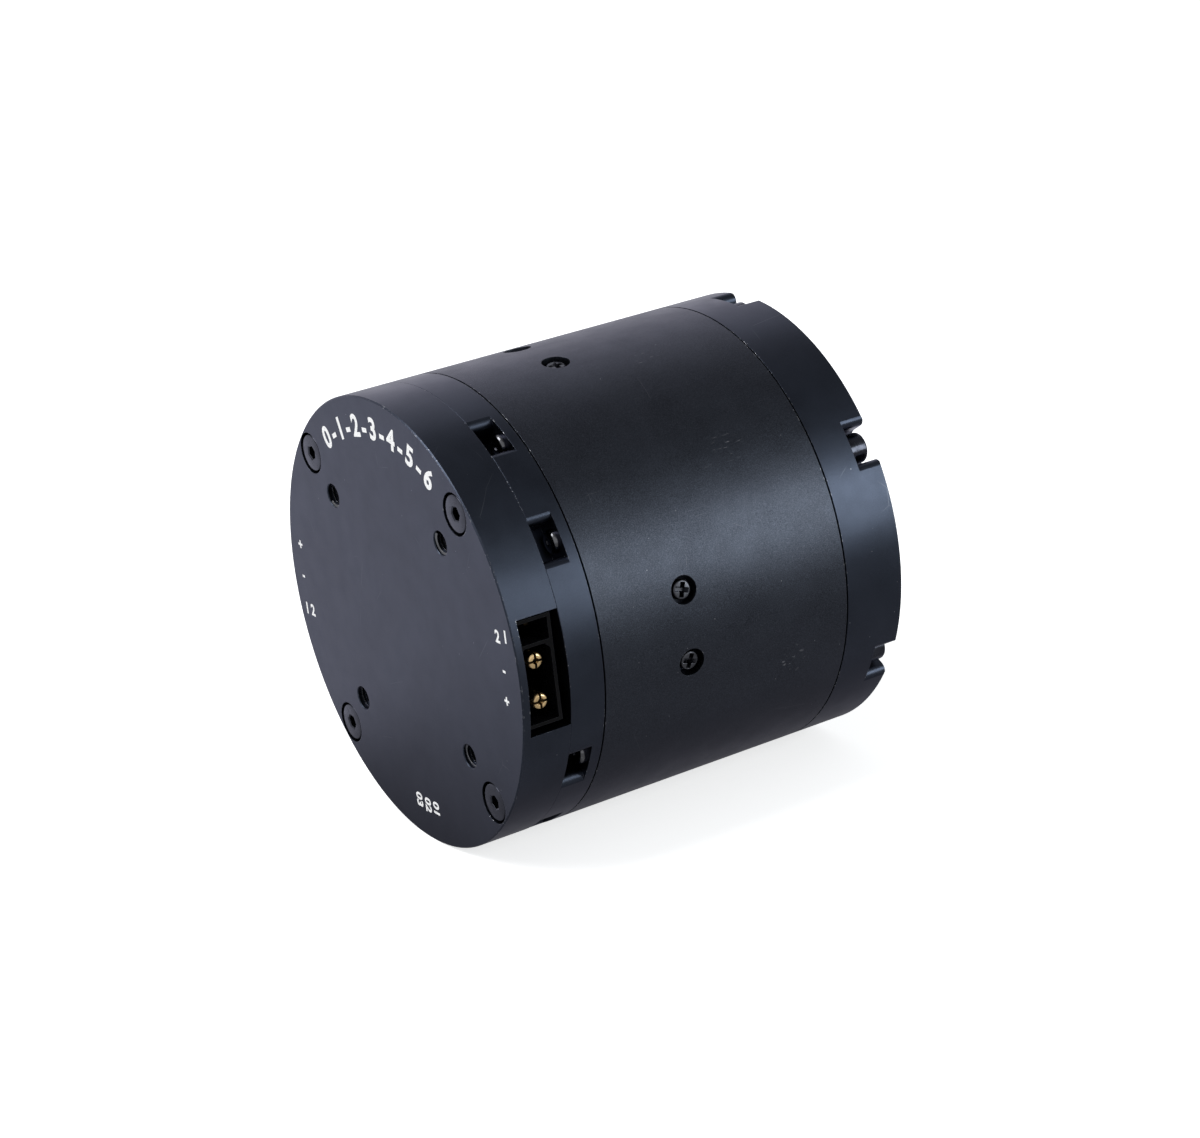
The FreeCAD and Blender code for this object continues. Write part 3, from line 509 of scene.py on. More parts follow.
@dataclass(frozen=True)
class Scuff:
    """Small group of light strokes where something rubbed the finish."""

    centre: Triple
    radius: float
    stretch: Triple = (0.14, 0.8, 1.0)
    strength: float = 0.34
    core: float = 0.3
    stroke_size: float = 0.22
    stroke_range: Point = (0.62, 0.70)

    def share(self, shader: Shader) -> Socket:
        """Strokes that thin out from the scuff's core to its edge.

        Args:
            shader: the shader of the finish.

        Returns:
            The share of the worn colour.
        """
        near = shader.level(shader.away(self.centre), (self.core * self.radius * MM, self.radius * MM), FALL)
        grain = shader.noise(self.stroke_size, 2.0, self.stretch)
        return shader.maths("MULTIPLY", near, shader.level(grain, self.stroke_range, (0.0, self.strength)))


@dataclass(frozen=True)
class EdgeWear:
    """Bright metal along the edges, in rows of dots that come and go."""

    radius: float = 0.16
    dot_size: float = 0.40
    dot_range: Point = (0.56, 0.66)
    strength: float = 0.8
    row_size: float = 6.0
    row_range: Point = (0.46, 0.60)
    least: float = 0.1

    def share(self, shader: Shader) -> Socket:
        """Dots along the edges.

        Args:
            shader: the shader of the finish.

        Returns:
            The share of the worn colour.
        """
        dots = shader.level(shader.noise(self.dot_size), self.dot_range, (0.0, self.strength))
        rows = shader.level(shader.noise(self.row_size, 1.0), self.row_range, (self.least, 1.0))
        edge = shader.maths("MULTIPLY", shader.edge_mask(shader.rounding(self.radius)), dots)
        return shader.maths("MULTIPLY", edge, rows)


@dataclass(frozen=True)
class Nicks:
    """Specks and short hair scratches on the flats, which are few."""

    speck_cell: float = 2.2
    speck_reach: Point = (0.016, 0.034)
    speck_strength: float = 0.28
    hair_cell: float = 11.0
    hair_reach: Point = (0.0012, 0.0030)
    hair_strength: float = 0.05
    patch_size: float = 6.0
    patch_range: Point = (0.61, 0.67)

    def share(self, shader: Shader) -> Socket:
        """Specks, and hairs in patches only.

        Args:
            shader: the shader of the finish.

        Returns:
            The share of the worn colour.
        """
        specks = shader.level(shader.cells(self.speck_cell), self.speck_reach, (self.speck_strength, 0.0))
        lines = shader.cells(self.hair_cell, "DISTANCE_TO_EDGE")
        hairs = shader.level(lines, self.hair_reach, (self.hair_strength, 0.0))
        patch = shader.level(shader.noise(self.patch_size, 1.0), self.patch_range)
        return shader.maths("MAXIMUM", specks, shader.maths("MULTIPLY", hairs, patch))


@dataclass(frozen=True)
class Anodised:
    """Black anodised aluminium, blasted or turned before the bath."""

    name: str
    tone: Colour
    roughness: float
    grain: float
    grain_depth: float
    grain_contrast: float
    lines: float = 0.0
    worn: Colour = (0.62, 0.63, 0.68)
    rim: Colour = (0.90, 0.89, 1.0)
    scuffs: tuple[Scuff, ...] = ()
    cloud_size: float = 7.0
    cloud_tones: Point = (0.86, 1.16)
    spark_range: Point = (0.40, 0.72)
    rub_size: float = 3.0
    rub_play: float = 0.03
    edge_radius: float = 0.07
    ring_pitch: float = 0.16
    band_pitch: float = 0.14
    wobble: float = 0.4

    def make(self) -> Material:
        """Build the material.

        Returns:
            The material.
        """
        shader = Shader(self.name)
        shader.fix(Metallic=1.0, Specular_Tint=self.rim)
        fine = shader.noise(self.grain, 2.0)
        dark, light = (shaded(self.tone, factor) for factor in self.cloud_tones)
        colour = shader.blend(shader.level(shader.noise(self.cloud_size, 4.0), MOST), dark, light)
        spark = shaded(self.tone, 1.0 + self.grain_contrast)
        colour = shader.blend(shader.level(fine, self.spark_range), colour, spark)
        marks = Nicks().share(shader)
        for scuff in self.scuffs:
            marks = shader.maths("MAXIMUM", marks, scuff.share(shader))
        colour = shader.blend(marks, colour, self.worn)
        shader.drive("Base Color", shader.blend(EdgeWear().share(shader), colour, self.worn))
        shader.rub(shader.noise(self.rub_size, 5.0), self.roughness, self.rub_play, self.rub_play)
        layers = [(fine, self.grain_depth)]
        if self.lines:
            layers += [(shader.wave(self.ring_pitch, True, self.wobble), self.lines),
                       (shader.wave(self.band_pitch, False, self.wobble), self.lines)]
        shader.relief(layers, shader.rounding(self.edge_radius))
        return shader.material


@dataclass(frozen=True)
class Lines:
    """Fine lines across a surface; sizes in millimetres."""

    pitch: float
    depth: float
    rings: bool
    wobble: float

    def height(self, shader: Shader) -> Socket:
        """Height pattern."""
        return shader.wave(self.pitch, self.rings, self.wobble)


@dataclass(frozen=True)
class Grain:
    """Fine grain of a surface; sizes in millimetres."""

    size: float
    depth: float
    detail: float = 2.0
    stretch: Triple = EVEN

    def height(self, shader: Shader) -> Socket:
        """Height pattern."""
        return shader.noise(self.size, self.detail, self.stretch)


RELIEFS: dict[Surface, tuple[Lines | Grain, ...]] = {
    Surface.TURNED: (Lines(0.12, 0.0012, True, 0.5), Lines(0.10, 0.0012, False, 0.5)),
    Surface.GROUND: (Grain(0.12, 0.0006, stretch=(0.08, 1.0, 1.0)),),
    Surface.PLATED: (Grain(0.25, 0.0008),),
    Surface.CUT: (Grain(0.10, 0.0015, stretch=(0.06, 1.0, 1.0)), Grain(0.8, 0.002, 3.0)),
    Surface.SHEETS: (Lines(0.20, 0.012, False, 0.1), Grain(0.3, 0.003, 3.0)),
    Surface.WIRE: (Lines(0.42, 0.05, False, 0.6), Lines(0.42, 0.03, True, 0.6)),
}


@dataclass(frozen=True)
class Metal:
    """Bare, plated or blackened metal."""

    name: str
    colour: Colour
    roughness: float
    surface: Surface
    rim: Colour = WHITE
    # Painted shade: inside this radius, in millimetres, the colour darkens over the fade width to the tone
    # share below, as in a deep socket; 0 for none
    painted_shade_within: float = 0.0
    painted_shade_fade: float = 0.6
    painted_shade_tone: float = 0.07
    cloud_size: float = 1.6
    cloud_range: Point = (0.35, 0.65)
    cloud_tones: Point = (0.72, 1.12)
    rub_size: float = 0.5
    rub_below: float = 0.06
    rub_above: float = 0.08
    edge_radius: float = 0.06

    def make(self) -> Material:
        """Build the material; when a radius is given for it, the colour nearer to the axis than that is
        darkened with painted shade.

        Returns:
            The material.
        """
        shader = Shader(self.name)
        shader.fix(Metallic=1.0, Specular_Tint=self.rim)
        dark, light = (shaded(self.colour, factor) for factor in self.cloud_tones)
        cloud = shader.level(shader.noise(self.cloud_size, 4.0), self.cloud_range)
        colour = shader.blend(cloud, dark, light)
        # Painted shade: darker nearer to the axis, where the pins sit deep in their sockets
        if self.painted_shade_within:
            span = ((self.painted_shade_within - self.painted_shade_fade) * MM, self.painted_shade_within * MM)
            painted_shade_share = shader.level(shader.radius(), span, FALL)
            colour = shader.blend(painted_shade_share, colour, shaded(self.colour, self.painted_shade_tone))
        shader.drive("Base Color", colour)
        shader.rub(shader.noise(self.rub_size), self.roughness, self.rub_below, self.rub_above)
        layers = [(layer.height(shader), layer.depth) for layer in RELIEFS[self.surface]]
        shader.relief(layers, shader.rounding(self.edge_radius))
        return shader.material


@dataclass(frozen=True)
class Moulded:
    """Moulded plastic, rubber or varnish over a board."""

    name: str
    colour: Colour
    roughness: float
    grain_depth: float = 0.002
    # Lighter colour painted on the edges: a painted highlight
    rim: Colour = (0.03, 0.03, 0.035)
    gloss: float = 0.25
    grain: float = 0.18
    cloud_size: float = 2.5
    cloud_strength: float = 0.5
    lighter: float = 1.5
    rub_size: float = 0.8
    rub_play: float = 0.05
    edge_radius: float = 0.05

    def make(self) -> Material:
        """Build the material.

        Returns:
            The material.
        """
        shader = Shader(self.name)
        shader.fix(Specular_IOR_Level=self.gloss)
        cloud = shader.level(shader.noise(self.cloud_size), MOST, (0.0, self.cloud_strength))
        colour = shader.blend(cloud, self.colour, shaded(self.colour, self.lighter))
        normal = shader.rounding(self.edge_radius)
        # Painted highlight: the edges get a lighter colour, as if they caught the light
        shader.drive("Base Color", shader.blend(shader.edge_mask(normal), colour, self.rim))
        shader.rub(shader.noise(self.rub_size, 2.0), self.roughness, self.rub_play, self.rub_play)
        shader.relief([(shader.noise(self.grain, 2.0), self.grain_depth)], normal)
        return shader.material


@dataclass(frozen=True)
class Ink:
    """Matt ink of the marks on the rear face."""

    name: str
    colour: Colour
    roughness: float = 0.6
    gloss: float = 0.3
    thin_size: float = 0.22
    thin_range: Point = (0.30, 0.55)
    thin_tone: float = 0.78
    grain: float = 0.12
    grain_depth: float = 0.002

    def make(self) -> Material:
        """Build the material.

        Returns:
            The material.
        """
        shader = Shader(self.name)
        shader.fix(Roughness=self.roughness, Specular_IOR_Level=self.gloss)
        cover = shader.level(shader.noise(self.thin_size), self.thin_range)
        shader.drive("Base Color", shader.blend(cover, shaded(self.colour, self.thin_tone), self.colour))
        shader.relief([(shader.noise(self.grain, 2.0), self.grain_depth)])
        return shader.material


class Finishes:
    """All the materials, made once."""

    def __init__(self) -> None:
        """Build a material for each record slot, and three that only new pieces wear."""
        cool = (0.9, 0.9, 1.0)
        self.ink = Ink("marking_ink", (0.86, 0.86, 0.86)).make()
        self.zinc = Metal("black_zinc", (0.062, 0.064, 0.074), 0.32, Surface.PLATED, cool).make()
        self.bright = Metal("dark_steel", (0.100, 0.102, 0.110), 0.14, Surface.PLATED, cool).make()
        shell_scuffs = (
            Scuff((32.9, -8.9, 27.1), 1.5), Scuff((35.3, -22.1, 18.0), 2.2),
            Scuff((31.5, -22.8, 17.1), 0.9), Scuff((38.0, -27.0, -9.0), 2.6, (0.3, 0.8, 0.5), 0.22))
        kinds = (
            Anodised("anodised_matt", (0.0240, 0.0270, 0.0350), 0.38, 0.10, 0.012, 1.0, scuffs=shell_scuffs),
            Anodised("anodised_satin", (0.0252, 0.0298, 0.0418), 0.34, 0.06, 0.0015, 0.3, 0.0005),
            Metal("black_oxide", (0.034, 0.036, 0.046), 0.23, Surface.PLATED, cool),
            # The socket's edges get the lighter painted highlight
            Moulded("socket_plastic", (0.002, 0.002, 0.0025), 0.30, 0.0008, (0.045, 0.047, 0.055), 0.08),
            # The gold below the pin tips is darkened with painted shade
            Metal("gold_plate", (0.64, 0.46, 0.24), 0.30, Surface.PLATED, painted_shade_within=27.1),
            Moulded("board", (0.010, 0.022, 0.016), 0.30, 0.001),
            Moulded("chip", (0.012, 0.012, 0.013), 0.52),
            Metal("lamination", (0.36, 0.36, 0.38), 0.48, Surface.SHEETS),
            Metal("copper", (0.70, 0.27, 0.13), 0.30, Surface.WIRE),
            Metal("magnet", (0.66, 0.66, 0.67), 0.26, Surface.PLATED),
            Metal("steel", (0.52, 0.53, 0.55), 0.34, Surface.TURNED),
            Metal("gear_steel", (0.42, 0.43, 0.45), 0.30, Surface.CUT),
            Metal("bearing_steel", (0.66, 0.67, 0.69), 0.20, Surface.GROUND),
            Moulded("seal_rubber", (0.007, 0.008, 0.010), 0.62, 0.004),
        )
        self.by_slot = {kind.name: kind.make() for kind in kinds}

    def of(self, slot: Slot) -> Material:
        """Material of a record slot."""
        return self.by_slot[slot.value]

    def dress_nodes(self) -> None:
        """Give every CAD node the finish of its slot."""
        for part in frame["record"]["subparts"]:
            node = frame["nodes"][part["node"]]
            for holder in node.material_slots:
                holder.material = self.by_slot[part["material_slot"]]
            LOG.info("%s: %s", part["node"], part["material_slot"])


# Geometry Nodes

class GeometryTree(NodeTree):
    """A Geometry Nodes tree with named inputs, which makes a plain mesh each time it is run."""

    NAME: str
    INPUTS: dict[str, str]

    def __init__(self) -> None:
        """Build the tree, from its inputs to Realize Instances and Set Material."""
        super().__init__(bpy.data.node_groups.new(self.NAME, "GeometryNodeTree"))
        self.tree.is_modifier = True
        sockets = self.tree.interface
        for name, kind in {**self.INPUTS, "Finish": "Material"}.items():
            sockets.new_socket(name=name, in_out="INPUT", socket_type=f"NodeSocket{kind}")
        sockets.new_socket(name="Geometry", in_out="OUTPUT", socket_type="NodeSocketGeometry")
        self.given = self.add("NodeGroupInput").outputs
        real = self.add("GeometryNodeRealizeInstances", {"Geometry": self.shape()})
        inputs = {"Geometry": real.outputs["Geometry"], "Material": self.given["Finish"]}
        coat = self.add("GeometryNodeSetMaterial", inputs)
        self.add("NodeGroupOutput", {"Geometry": coat.outputs["Geometry"]})

    def shape(self) -> Socket:
        """Geometry that the tree makes; each kind of tree has its own."""
        raise NotImplementedError

    def grow(self, **values: object) -> Mesh:
        """Run the tree once.

        Args:
            values: the tree's inputs by name, with _ for a space; lengths in metres, angles in radians.

        Returns:
            The result as a plain mesh.
        """
        host = placed("host", bpy.data.meshes.new("host"))
        modifier = host.modifiers.new("grow", "NODES")
        modifier.node_group = self.tree
        sockets = {s.name: s.identifier for s in self.tree.interface.items_tree if s.in_out == "INPUT"}
        for key, value in values.items():
            modifier[sockets[key.replace("_", " ")]] = value
        return plain(host)


class RingTree(GeometryTree):
    """Copies of a piece set round the joint axis, singly or in pairs."""

    NAME = "copies_round_axis"
    INPUTS = {"Piece": "Object", "Places": "Int", "Copies per place": "Int", "Circle radius": "Float",
              "Station": "Float", "First angle": "Float", "Half spacing": "Float", "Own axis": "Vector",
              "Largest own turn": "Float", "Seed": "Int"}

    def shape(self) -> Socket:
        """Copies on their places, each turned at random about its own axis.

        Returns:
            The copies.
        """
        given, angle = self.given, self.angle()
        piece = self.add("GeometryNodeObjectInfo", {"As Instance": True, "Object": given["Piece"]})
        turn = self.add("ShaderNodeCombineXYZ", {"X": angle})
        copies = self.add("GeometryNodeInstanceOnPoints", {
            "Points": self.points(angle), "Instance": piece.outputs["Geometry"], "Rotation": turn.outputs[0]})
        chance = self.add("FunctionNodeRandomValue", {"Seed": given["Seed"]}, data_type="FLOAT")
        largest = [s for s in chance.inputs if s.name == "Max" and s.type == "VALUE"][0]
        self.join(given["Largest own turn"], largest)
        size = [s for s in chance.outputs if s.type == "VALUE"][0]
        own = self.add("ShaderNodeVectorMath", {0: given["Own axis"], "Scale": size}, operation="SCALE")
        inputs = {"Instances": copies.outputs["Instances"], "Rotation": own.outputs[0]}
        return self.add("GeometryNodeRotateInstances", inputs).outputs["Instances"]

    def angle(self) -> Socket:
        """Angle of each copy about the joint axis.

        Returns:
            The angle in radians.
        """
        per_place = self.given["Copies per place"]
        index = self.add("GeometryNodeInputIndex").outputs[0]
        place = self.maths("FLOOR", self.maths("DIVIDE", index, per_place))
        member = self.maths("MODULO", index, per_place)
        middle = self.maths("MULTIPLY", self.maths("SUBTRACT", per_place, 1.0), 0.5)
        aside = self.maths("MULTIPLY", self.maths("SUBTRACT", member, middle), self.given["Half spacing"])
        step = self.maths("DIVIDE", self.maths("MULTIPLY", place, 2 * math.pi), self.given["Places"])
        angle = self.maths("ADD", self.given["First angle"], step)
        return self.maths("ADD", angle, self.maths("MULTIPLY", aside, 2.0))

    def points(self, angle: Socket) -> Socket:
        """One point for each copy.

        Args:
            angle: each copy's angle about the joint axis.

        Returns:
            The points on the circle.
        """
        count = self.maths("MULTIPLY", self.given["Places"], self.given["Copies per place"])
        line = self.add("GeometryNodeMeshLine", {"Count": count, "Offset": (0.0, 0.0, 0.0)})
        place = {"X": self.given["Station"]}
        for axis, operation in (("Y", "COSINE"), ("Z", "SINE")):
            place[axis] = self.maths("MULTIPLY", self.given["Circle radius"], self.maths(operation, angle))
        spot = self.add("ShaderNodeCombineXYZ", place)
        inputs = {"Geometry": line.outputs["Mesh"], "Position": spot.outputs[0]}
        return self.add("GeometryNodeSetPosition", inputs).outputs["Geometry"]


class RidgeTree(GeometryTree):
    """Thread ridge along local +Z: a spiral swept by a three-sided section."""

    NAME = "thread_ridge"
    INPUTS = {"Turns": "Float", "Radius": "Float", "Depth": "Float", "Ridge": "Float"}
    STEPS = 20
    CORNERS = 3

    def shape(self) -> Socket:
        """Sweep the section, with its ends closed.

        Returns:
            The ridge.
        """
        given = self.given
        spiral = self.add("GeometryNodeCurveSpiral", {
            "Resolution": self.STEPS, "Rotations": given["Turns"], "Height": given["Depth"],
            "Start Radius": given["Radius"], "End Radius": given["Radius"]})
        section = self.add("GeometryNodeCurvePrimitiveCircle", {
            "Resolution": self.CORNERS, "Radius": given["Ridge"]})
        inputs = {"Curve": spiral.outputs[0], "Profile Curve": section.outputs["Curve"], "Fill Caps": True}
        return self.add("GeometryNodeCurveToMesh", inputs).outputs["Mesh"]


@dataclass(frozen=True)
class Ring:
    """Where equal pieces stand round the joint axis; lengths in millimetres, angles in degrees."""

    places: int
    radius: float
    station: float
    first_angle: float
    per_place: int = 1
    half_spacing: float = 0.0
    own_axis: Triple = (1.0, 0.0, 0.0)
    own_turn: float = 0.0
    seed: int = 7

    def fill(self, tree: RingTree, mesh: Mesh, finish: Material) -> Mesh:
        """Set copies of a mesh on the ring.

        Args:
            tree: node tree that sets the copies.
            mesh: one copy, modelled on the +Y side.
            finish: its material.

        Returns:
            A plain mesh of all the copies.
        """
        pattern = placed("pattern", mesh)
        result = tree.grow(
            Piece=pattern, Places=self.places, Copies_per_place=self.per_place,
            Circle_radius=self.radius * MM, Station=self.station * MM,
            First_angle=math.radians(self.first_angle), Half_spacing=math.radians(self.half_spacing),
            Own_axis=self.own_axis, Largest_own_turn=math.radians(self.own_turn), Seed=self.seed,
            Finish=finish)
        bpy.data.objects.remove(pattern)
        return result


# Sub-assemblies

class Recess(Enum):
    """Drive of a screw's head."""

    HEXAGON = "hexagon"
    CROSS = "cross"


@dataclass(frozen=True)
class Screw:
    """A screw, its head towards local +X and its seat at x = 0."""

    head_radius: float
    head_height: float
    shank_radius: float
    shank_length: float
    recess: Recess
    recess_size: float
    recess_depth: float
    rounding: float = 0.2
    largest_lead: float = 0.12
    lead_share: float = 0.2
    mouth_shrink: float = 0.8
    arm_share: float = 0.33
    cross_shrink: float = 0.55
    skin: float = 0.02
    segments: int = 40
    crown_steps: int = 4

    def mesh(self) -> Mesh:
        """Build the screw.

        Returns:
            A closed mesh in metres.
        """
        rim = crown(self.head_height, self.head_radius, self.rounding, self.crown_steps)
        profile = [(-self.shank_length, 0.0), (-self.shank_length, self.shank_radius),
                   (0.0, self.shank_radius), (0.0, self.head_radius), *rim, (self.head_height, 0.0)]
        return carved(lathe(profile, self.segments), self.cutters())

    def cutters(self) -> list[Mesh]:
        """Meshes that cut the drive: a cross, or a hexagon with a lead-in at its mouth.

        Returns:
            Closed meshes in metres.
        """
        floor = self.head_height - self.recess_depth
        top = self.head_height + self.skin
        if self.recess is Recess.CROSS:
            bars = cross(self.recess_size, self.arm_share * self.recess_size)
            return [prism(bar, floor, top, self.cross_shrink) for bar in bars]
        corner = self.recess_size / math.sqrt(3)
        turns = [math.pi / 3 * i for i in range(6)]
        outline = [(corner * math.cos(a), corner * math.sin(a)) for a in turns]
        lead = min(self.largest_lead, self.lead_share * self.recess_depth)
        mouth = [((1.0 + 2 * lead) * y, (1.0 + 2 * lead) * z) for y, z in outline]
        return [prism(outline, floor, self.head_height + CLEAR),
                prism(mouth, self.head_height - lead, top, self.mouth_shrink)]


@dataclass(frozen=True)
class Fasteners:
    """All the screws that show, in place of the plain ones of the solids."""

    cover: Screw = Screw(2.35, 1.5, 1.25, 4.9, Recess.HEXAGON, 1.55, 0.9, 0.18)
    cover_ring: Ring = Ring(4, 25.6, 1.6, 45.0, own_turn=60.0, seed=3)
    window: Screw = Screw(1.45, 0.7, 0.8, 4.8, Recess.HEXAGON, 0.8, 0.12, 0.5)
    window_ring: Ring = Ring(4, 26.4, 9.75, 45.0, 2, 15.0, own_turn=60.0, seed=5)
    side: Screw = Screw(1.22, 1.5, 0.9, 4.1, Recess.CROSS, 0.95, 0.8, 0.24)
    side_ring: Ring = Ring(4, 26.6, 23.35, 0.0, 2, 9.2, (0.0, 1.0, 0.0), 90.0, 11)
    front: Screw = Screw(1.9, 2.9, 1.0, 8.4, Recess.HEXAGON, 1.5, 1.4, 0.3)
    front_ring: Ring = Ring(6, 25.8, 51.2, 30.0, own_turn=60.0, seed=13)
    flange: Screw = Screw(2.9, 1.7, 1.5, 11.2, Recess.HEXAGON, 2.0, 1.0, 0.2)
    flange_ring: Ring = Ring(3, 9.0, 53.0, 30.0, own_turn=60.0, seed=17)

    def build(self, tree: RingTree, finishes: Finishes) -> None:
        """Make every group of screws and set it in place of its node.

        Args:
            tree: node tree that sets the copies.
            finishes: the materials.
        """
        rear, front, outward = (-1.0, 0.0, 0.0), (1.0, 0.0, 0.0), (0.0, 1.0, 0.0)
        oxide, bright = finishes.of(Slot.OXIDE), finishes.bright
        groups = (
            ("cover_screw_set", "cover_screws", self.cover, self.cover_ring, rear, Body.HOUSING, oxide),
            ("window_screw_set", "frame_screws", self.window, self.window_ring, rear, Body.HOUSING, bright),
            ("side_screw_set", "side_screws", self.side, self.side_ring, outward, Body.HOUSING,
             finishes.zinc),
            ("slot_screw_set", "front_screws", self.front, self.front_ring, front, Body.HOUSING, oxide),
            ("flange_screw_set", "flange_screws", self.flange, self.flange_ring, front, Body.OUTPUT, oxide))
        for name, node, screw, ring, axis, body, finish in groups:
            mesh = ring.fill(tree, facing(screw.mesh(), axis), finish)
            dressed(name, mesh, body, finish, (node,))


@dataclass(frozen=True)
class PowerPins:
    """Split round pins of both power sockets."""

    radius: float = 1.0
    tip: float = 27.3
    root: float = 19.5
    station: float = 3.05
    heights: Point = (1.5, -3.5)
    slit: float = 0.3
    slit_depth: float = 1.3
    bore: float = 0.42
    bore_floor: float = 0.12
    bore_depth: float = 0.5
    nose: float = 0.35
    nose_steps: int = 5
    segments: int = 36

    def pin(self) -> Mesh:
        """One pin, its root at the origin and its tip towards -Y.

        Returns:
            A closed mesh in metres.
        """
        length = self.tip - self.root
        floor = length - self.bore_depth
        rim = crown(length, self.radius, self.nose, self.nose_steps)
        profile = [(0.0, 0.0), (0.0, self.radius), *rim, (length, self.bore), (floor, self.bore_floor),
                   (floor, 0.0)]
        bars = cross(self.radius + CLEAR, self.slit / 2)
        slits = [prism(bar, length - self.slit_depth, length + CLEAR) for bar in bars]
        return facing(carved(lathe(profile, self.segments), slits), (0.0, -1.0, 0.0))

    def build(self, finishes: Finishes) -> None:
        """Make the four pins as one piece.

        Args:
            finishes: the materials.
        """
        pin = self.pin()
        copies = []
        for side in (1, -1):
            for height in self.heights:
                copy = pin.copy()
                copy.transform(Matrix.Translation((self.station * MM, -self.root * MM, height * MM)))
                if side < 0:
                    copy.transform(Matrix.Rotation(math.pi, 4, "X"))
                copies.append(copy)
        gold = finishes.of(Slot.GOLD)
        dressed("power_pin_set", joined("pins", copies), Body.HOUSING, gold, ("power_pins",))


@dataclass(frozen=True)
class Threads:
    """Thread ridges inside the tapped holes that show."""

    pitch: float = 0.5
    ridge: float = 0.25
    rear_radius: float = 1.5
    rear_depth: float = 3.6
    rear_spacing: float = 27.0
    rear_start: float = 0.3
    output_radius: float = 1.27
    output_depth: float = 5.4
    output_circle: float = 15.0
    output_end: float = 54.6

    def helix(self, tree: RidgeTree, radius: float, depth: float, finish: Material) -> Mesh:
        """Ridge of one hole, along local +X from x = 0.

        Args:
            tree: node tree that sweeps the ridge.
            radius: the hole's radius in millimetres.
            depth: length of the thread in millimetres.
            finish: its material.

        Returns:
            The ridge as a closed mesh in metres.
        """
        mesh = tree.grow(Turns=depth / self.pitch, Radius=radius * MM, Depth=depth * MM,
                         Ridge=self.ridge * MM, Finish=finish)
        mesh.transform(Matrix.Rotation(math.pi / 2, 4, "Y"))
        return mesh

    def build(self, tree: RingTree, finishes: Finishes) -> None:
        """Set a ridge in every tapped hole of the rear face and the output flange.

        Args:
            tree: node tree that sets the copies.
            finishes: the materials.
        """
        sweep, finish = RidgeTree(), finishes.bright
        corners = Ring(4, self.rear_spacing / math.sqrt(2), self.rear_start, 45.0)
        circle = Ring(6, self.output_circle, self.output_end - self.output_depth, 0.0)
        holes = (("mount_thread_set", Body.HOUSING, corners, self.rear_radius, self.rear_depth),
                 ("output_thread_set", Body.OUTPUT, circle, self.output_radius, self.output_depth))
        for name, body, ring, radius, depth in holes:
            ridges = ring.fill(tree, self.helix(sweep, radius, depth, finish), finish)
            dressed(name, ridges, body, finish)


@dataclass(frozen=True)
class Marks:
    """White marks on the rear face: a plain scale, polarity signs and pin numbers."""

    proud: float = 0.012
    boldness: float = 0.045
    digit_share: float = 0.70
    curve_steps: int = 4
    scale: str = "0-1-2-3-4-5-6"
    scale_from: float = 121.0
    scale_to: float = 59.0
    scale_radius: float = 23.5
    scale_height: float = 2.65
    signs: tuple[tuple[str, float, float, float, float], ...] = (
        ("1", 1.5, 26.8, 9.5, 90.0), ("2", 1.5, 24.9, 9.3, 90.0),
        ("-", 1.4, 25.1, 0.2, 90.0), ("+", 1.4, 25.1, -9.0, 90.0),
        ("+", 1.4, 25.6, 171.7, 90.0), ("-", 1.4, 25.8, -178.9, 90.0),
        ("1", 1.5, 26.7, -168.8, 90.0), ("2", 1.5, 25.1, -168.2, 90.0),
        ("01", 1.4, 23.9, -85.2, 0.0), ("02", 1.4, 23.9, -90.2, 0.0), ("03", 1.4, 23.9, -95.4, 0.0))

    def glyph(self, text: str, height: float) -> Mesh:
        """One sign as a thin closed slab in the local XY plane, centred over its base line.

        Args:
            text: the sign.
            height: its height in millimetres.

        Returns:
            The mesh in metres, its print face towards +Z.
        """
        curve = bpy.data.curves.new("sign", "FONT")
        curve.body = text
        curve.size = height * MM / self.digit_share
        curve.align_x = "CENTER"
        curve.extrude = self.proud * MM
        curve.offset = self.boldness * height * MM
        curve.resolution_u = self.curve_steps
        return plain(placed("sign", curve))

    def sign(self, text: str, height: float, radius: float, angle: float, lean: float) -> Mesh:
        """One sign in place on the rear face.

        Args:
            text: the sign.
            height: its height in millimetres.
            radius: distance of its base line from the axis.
            angle: where it stands, in degrees as a viewer of the face counts them.
            lean: direction of its top, in the same degrees.

        Returns:
            The mesh in metres.
        """
        mesh = self.glyph(text, height)
        up = Vector((0.0, -math.cos(math.radians(lean)), math.sin(math.radians(lean))))
        out = Vector((-1.0, 0.0, 0.0))
        turned = math.radians(angle)
        spot = Vector((0.0, -radius * math.cos(turned), radius * math.sin(turned))) * MM
        turn = Matrix((up.cross(out), up, out)).transposed().to_4x4()
        mesh.transform(Matrix.Translation(spot) @ turn)
        return mesh

    def build(self, finishes: Finishes) -> None:
        """Make all the marks as one piece.

        Args:
            finishes: the materials.
        """
        step = (self.scale_to - self.scale_from) / (len(self.scale) - 1)
        meshes = []
        for i, text in enumerate(self.scale):
            angle = self.scale_from + i * step
            meshes.append(self.sign(text, self.scale_height, self.scale_radius, angle, angle))
        meshes += [self.sign(*row) for row in self.signs]
        dressed("face_marks", joined("marks", meshes), Body.HOUSING, finishes.ink)


# Studio

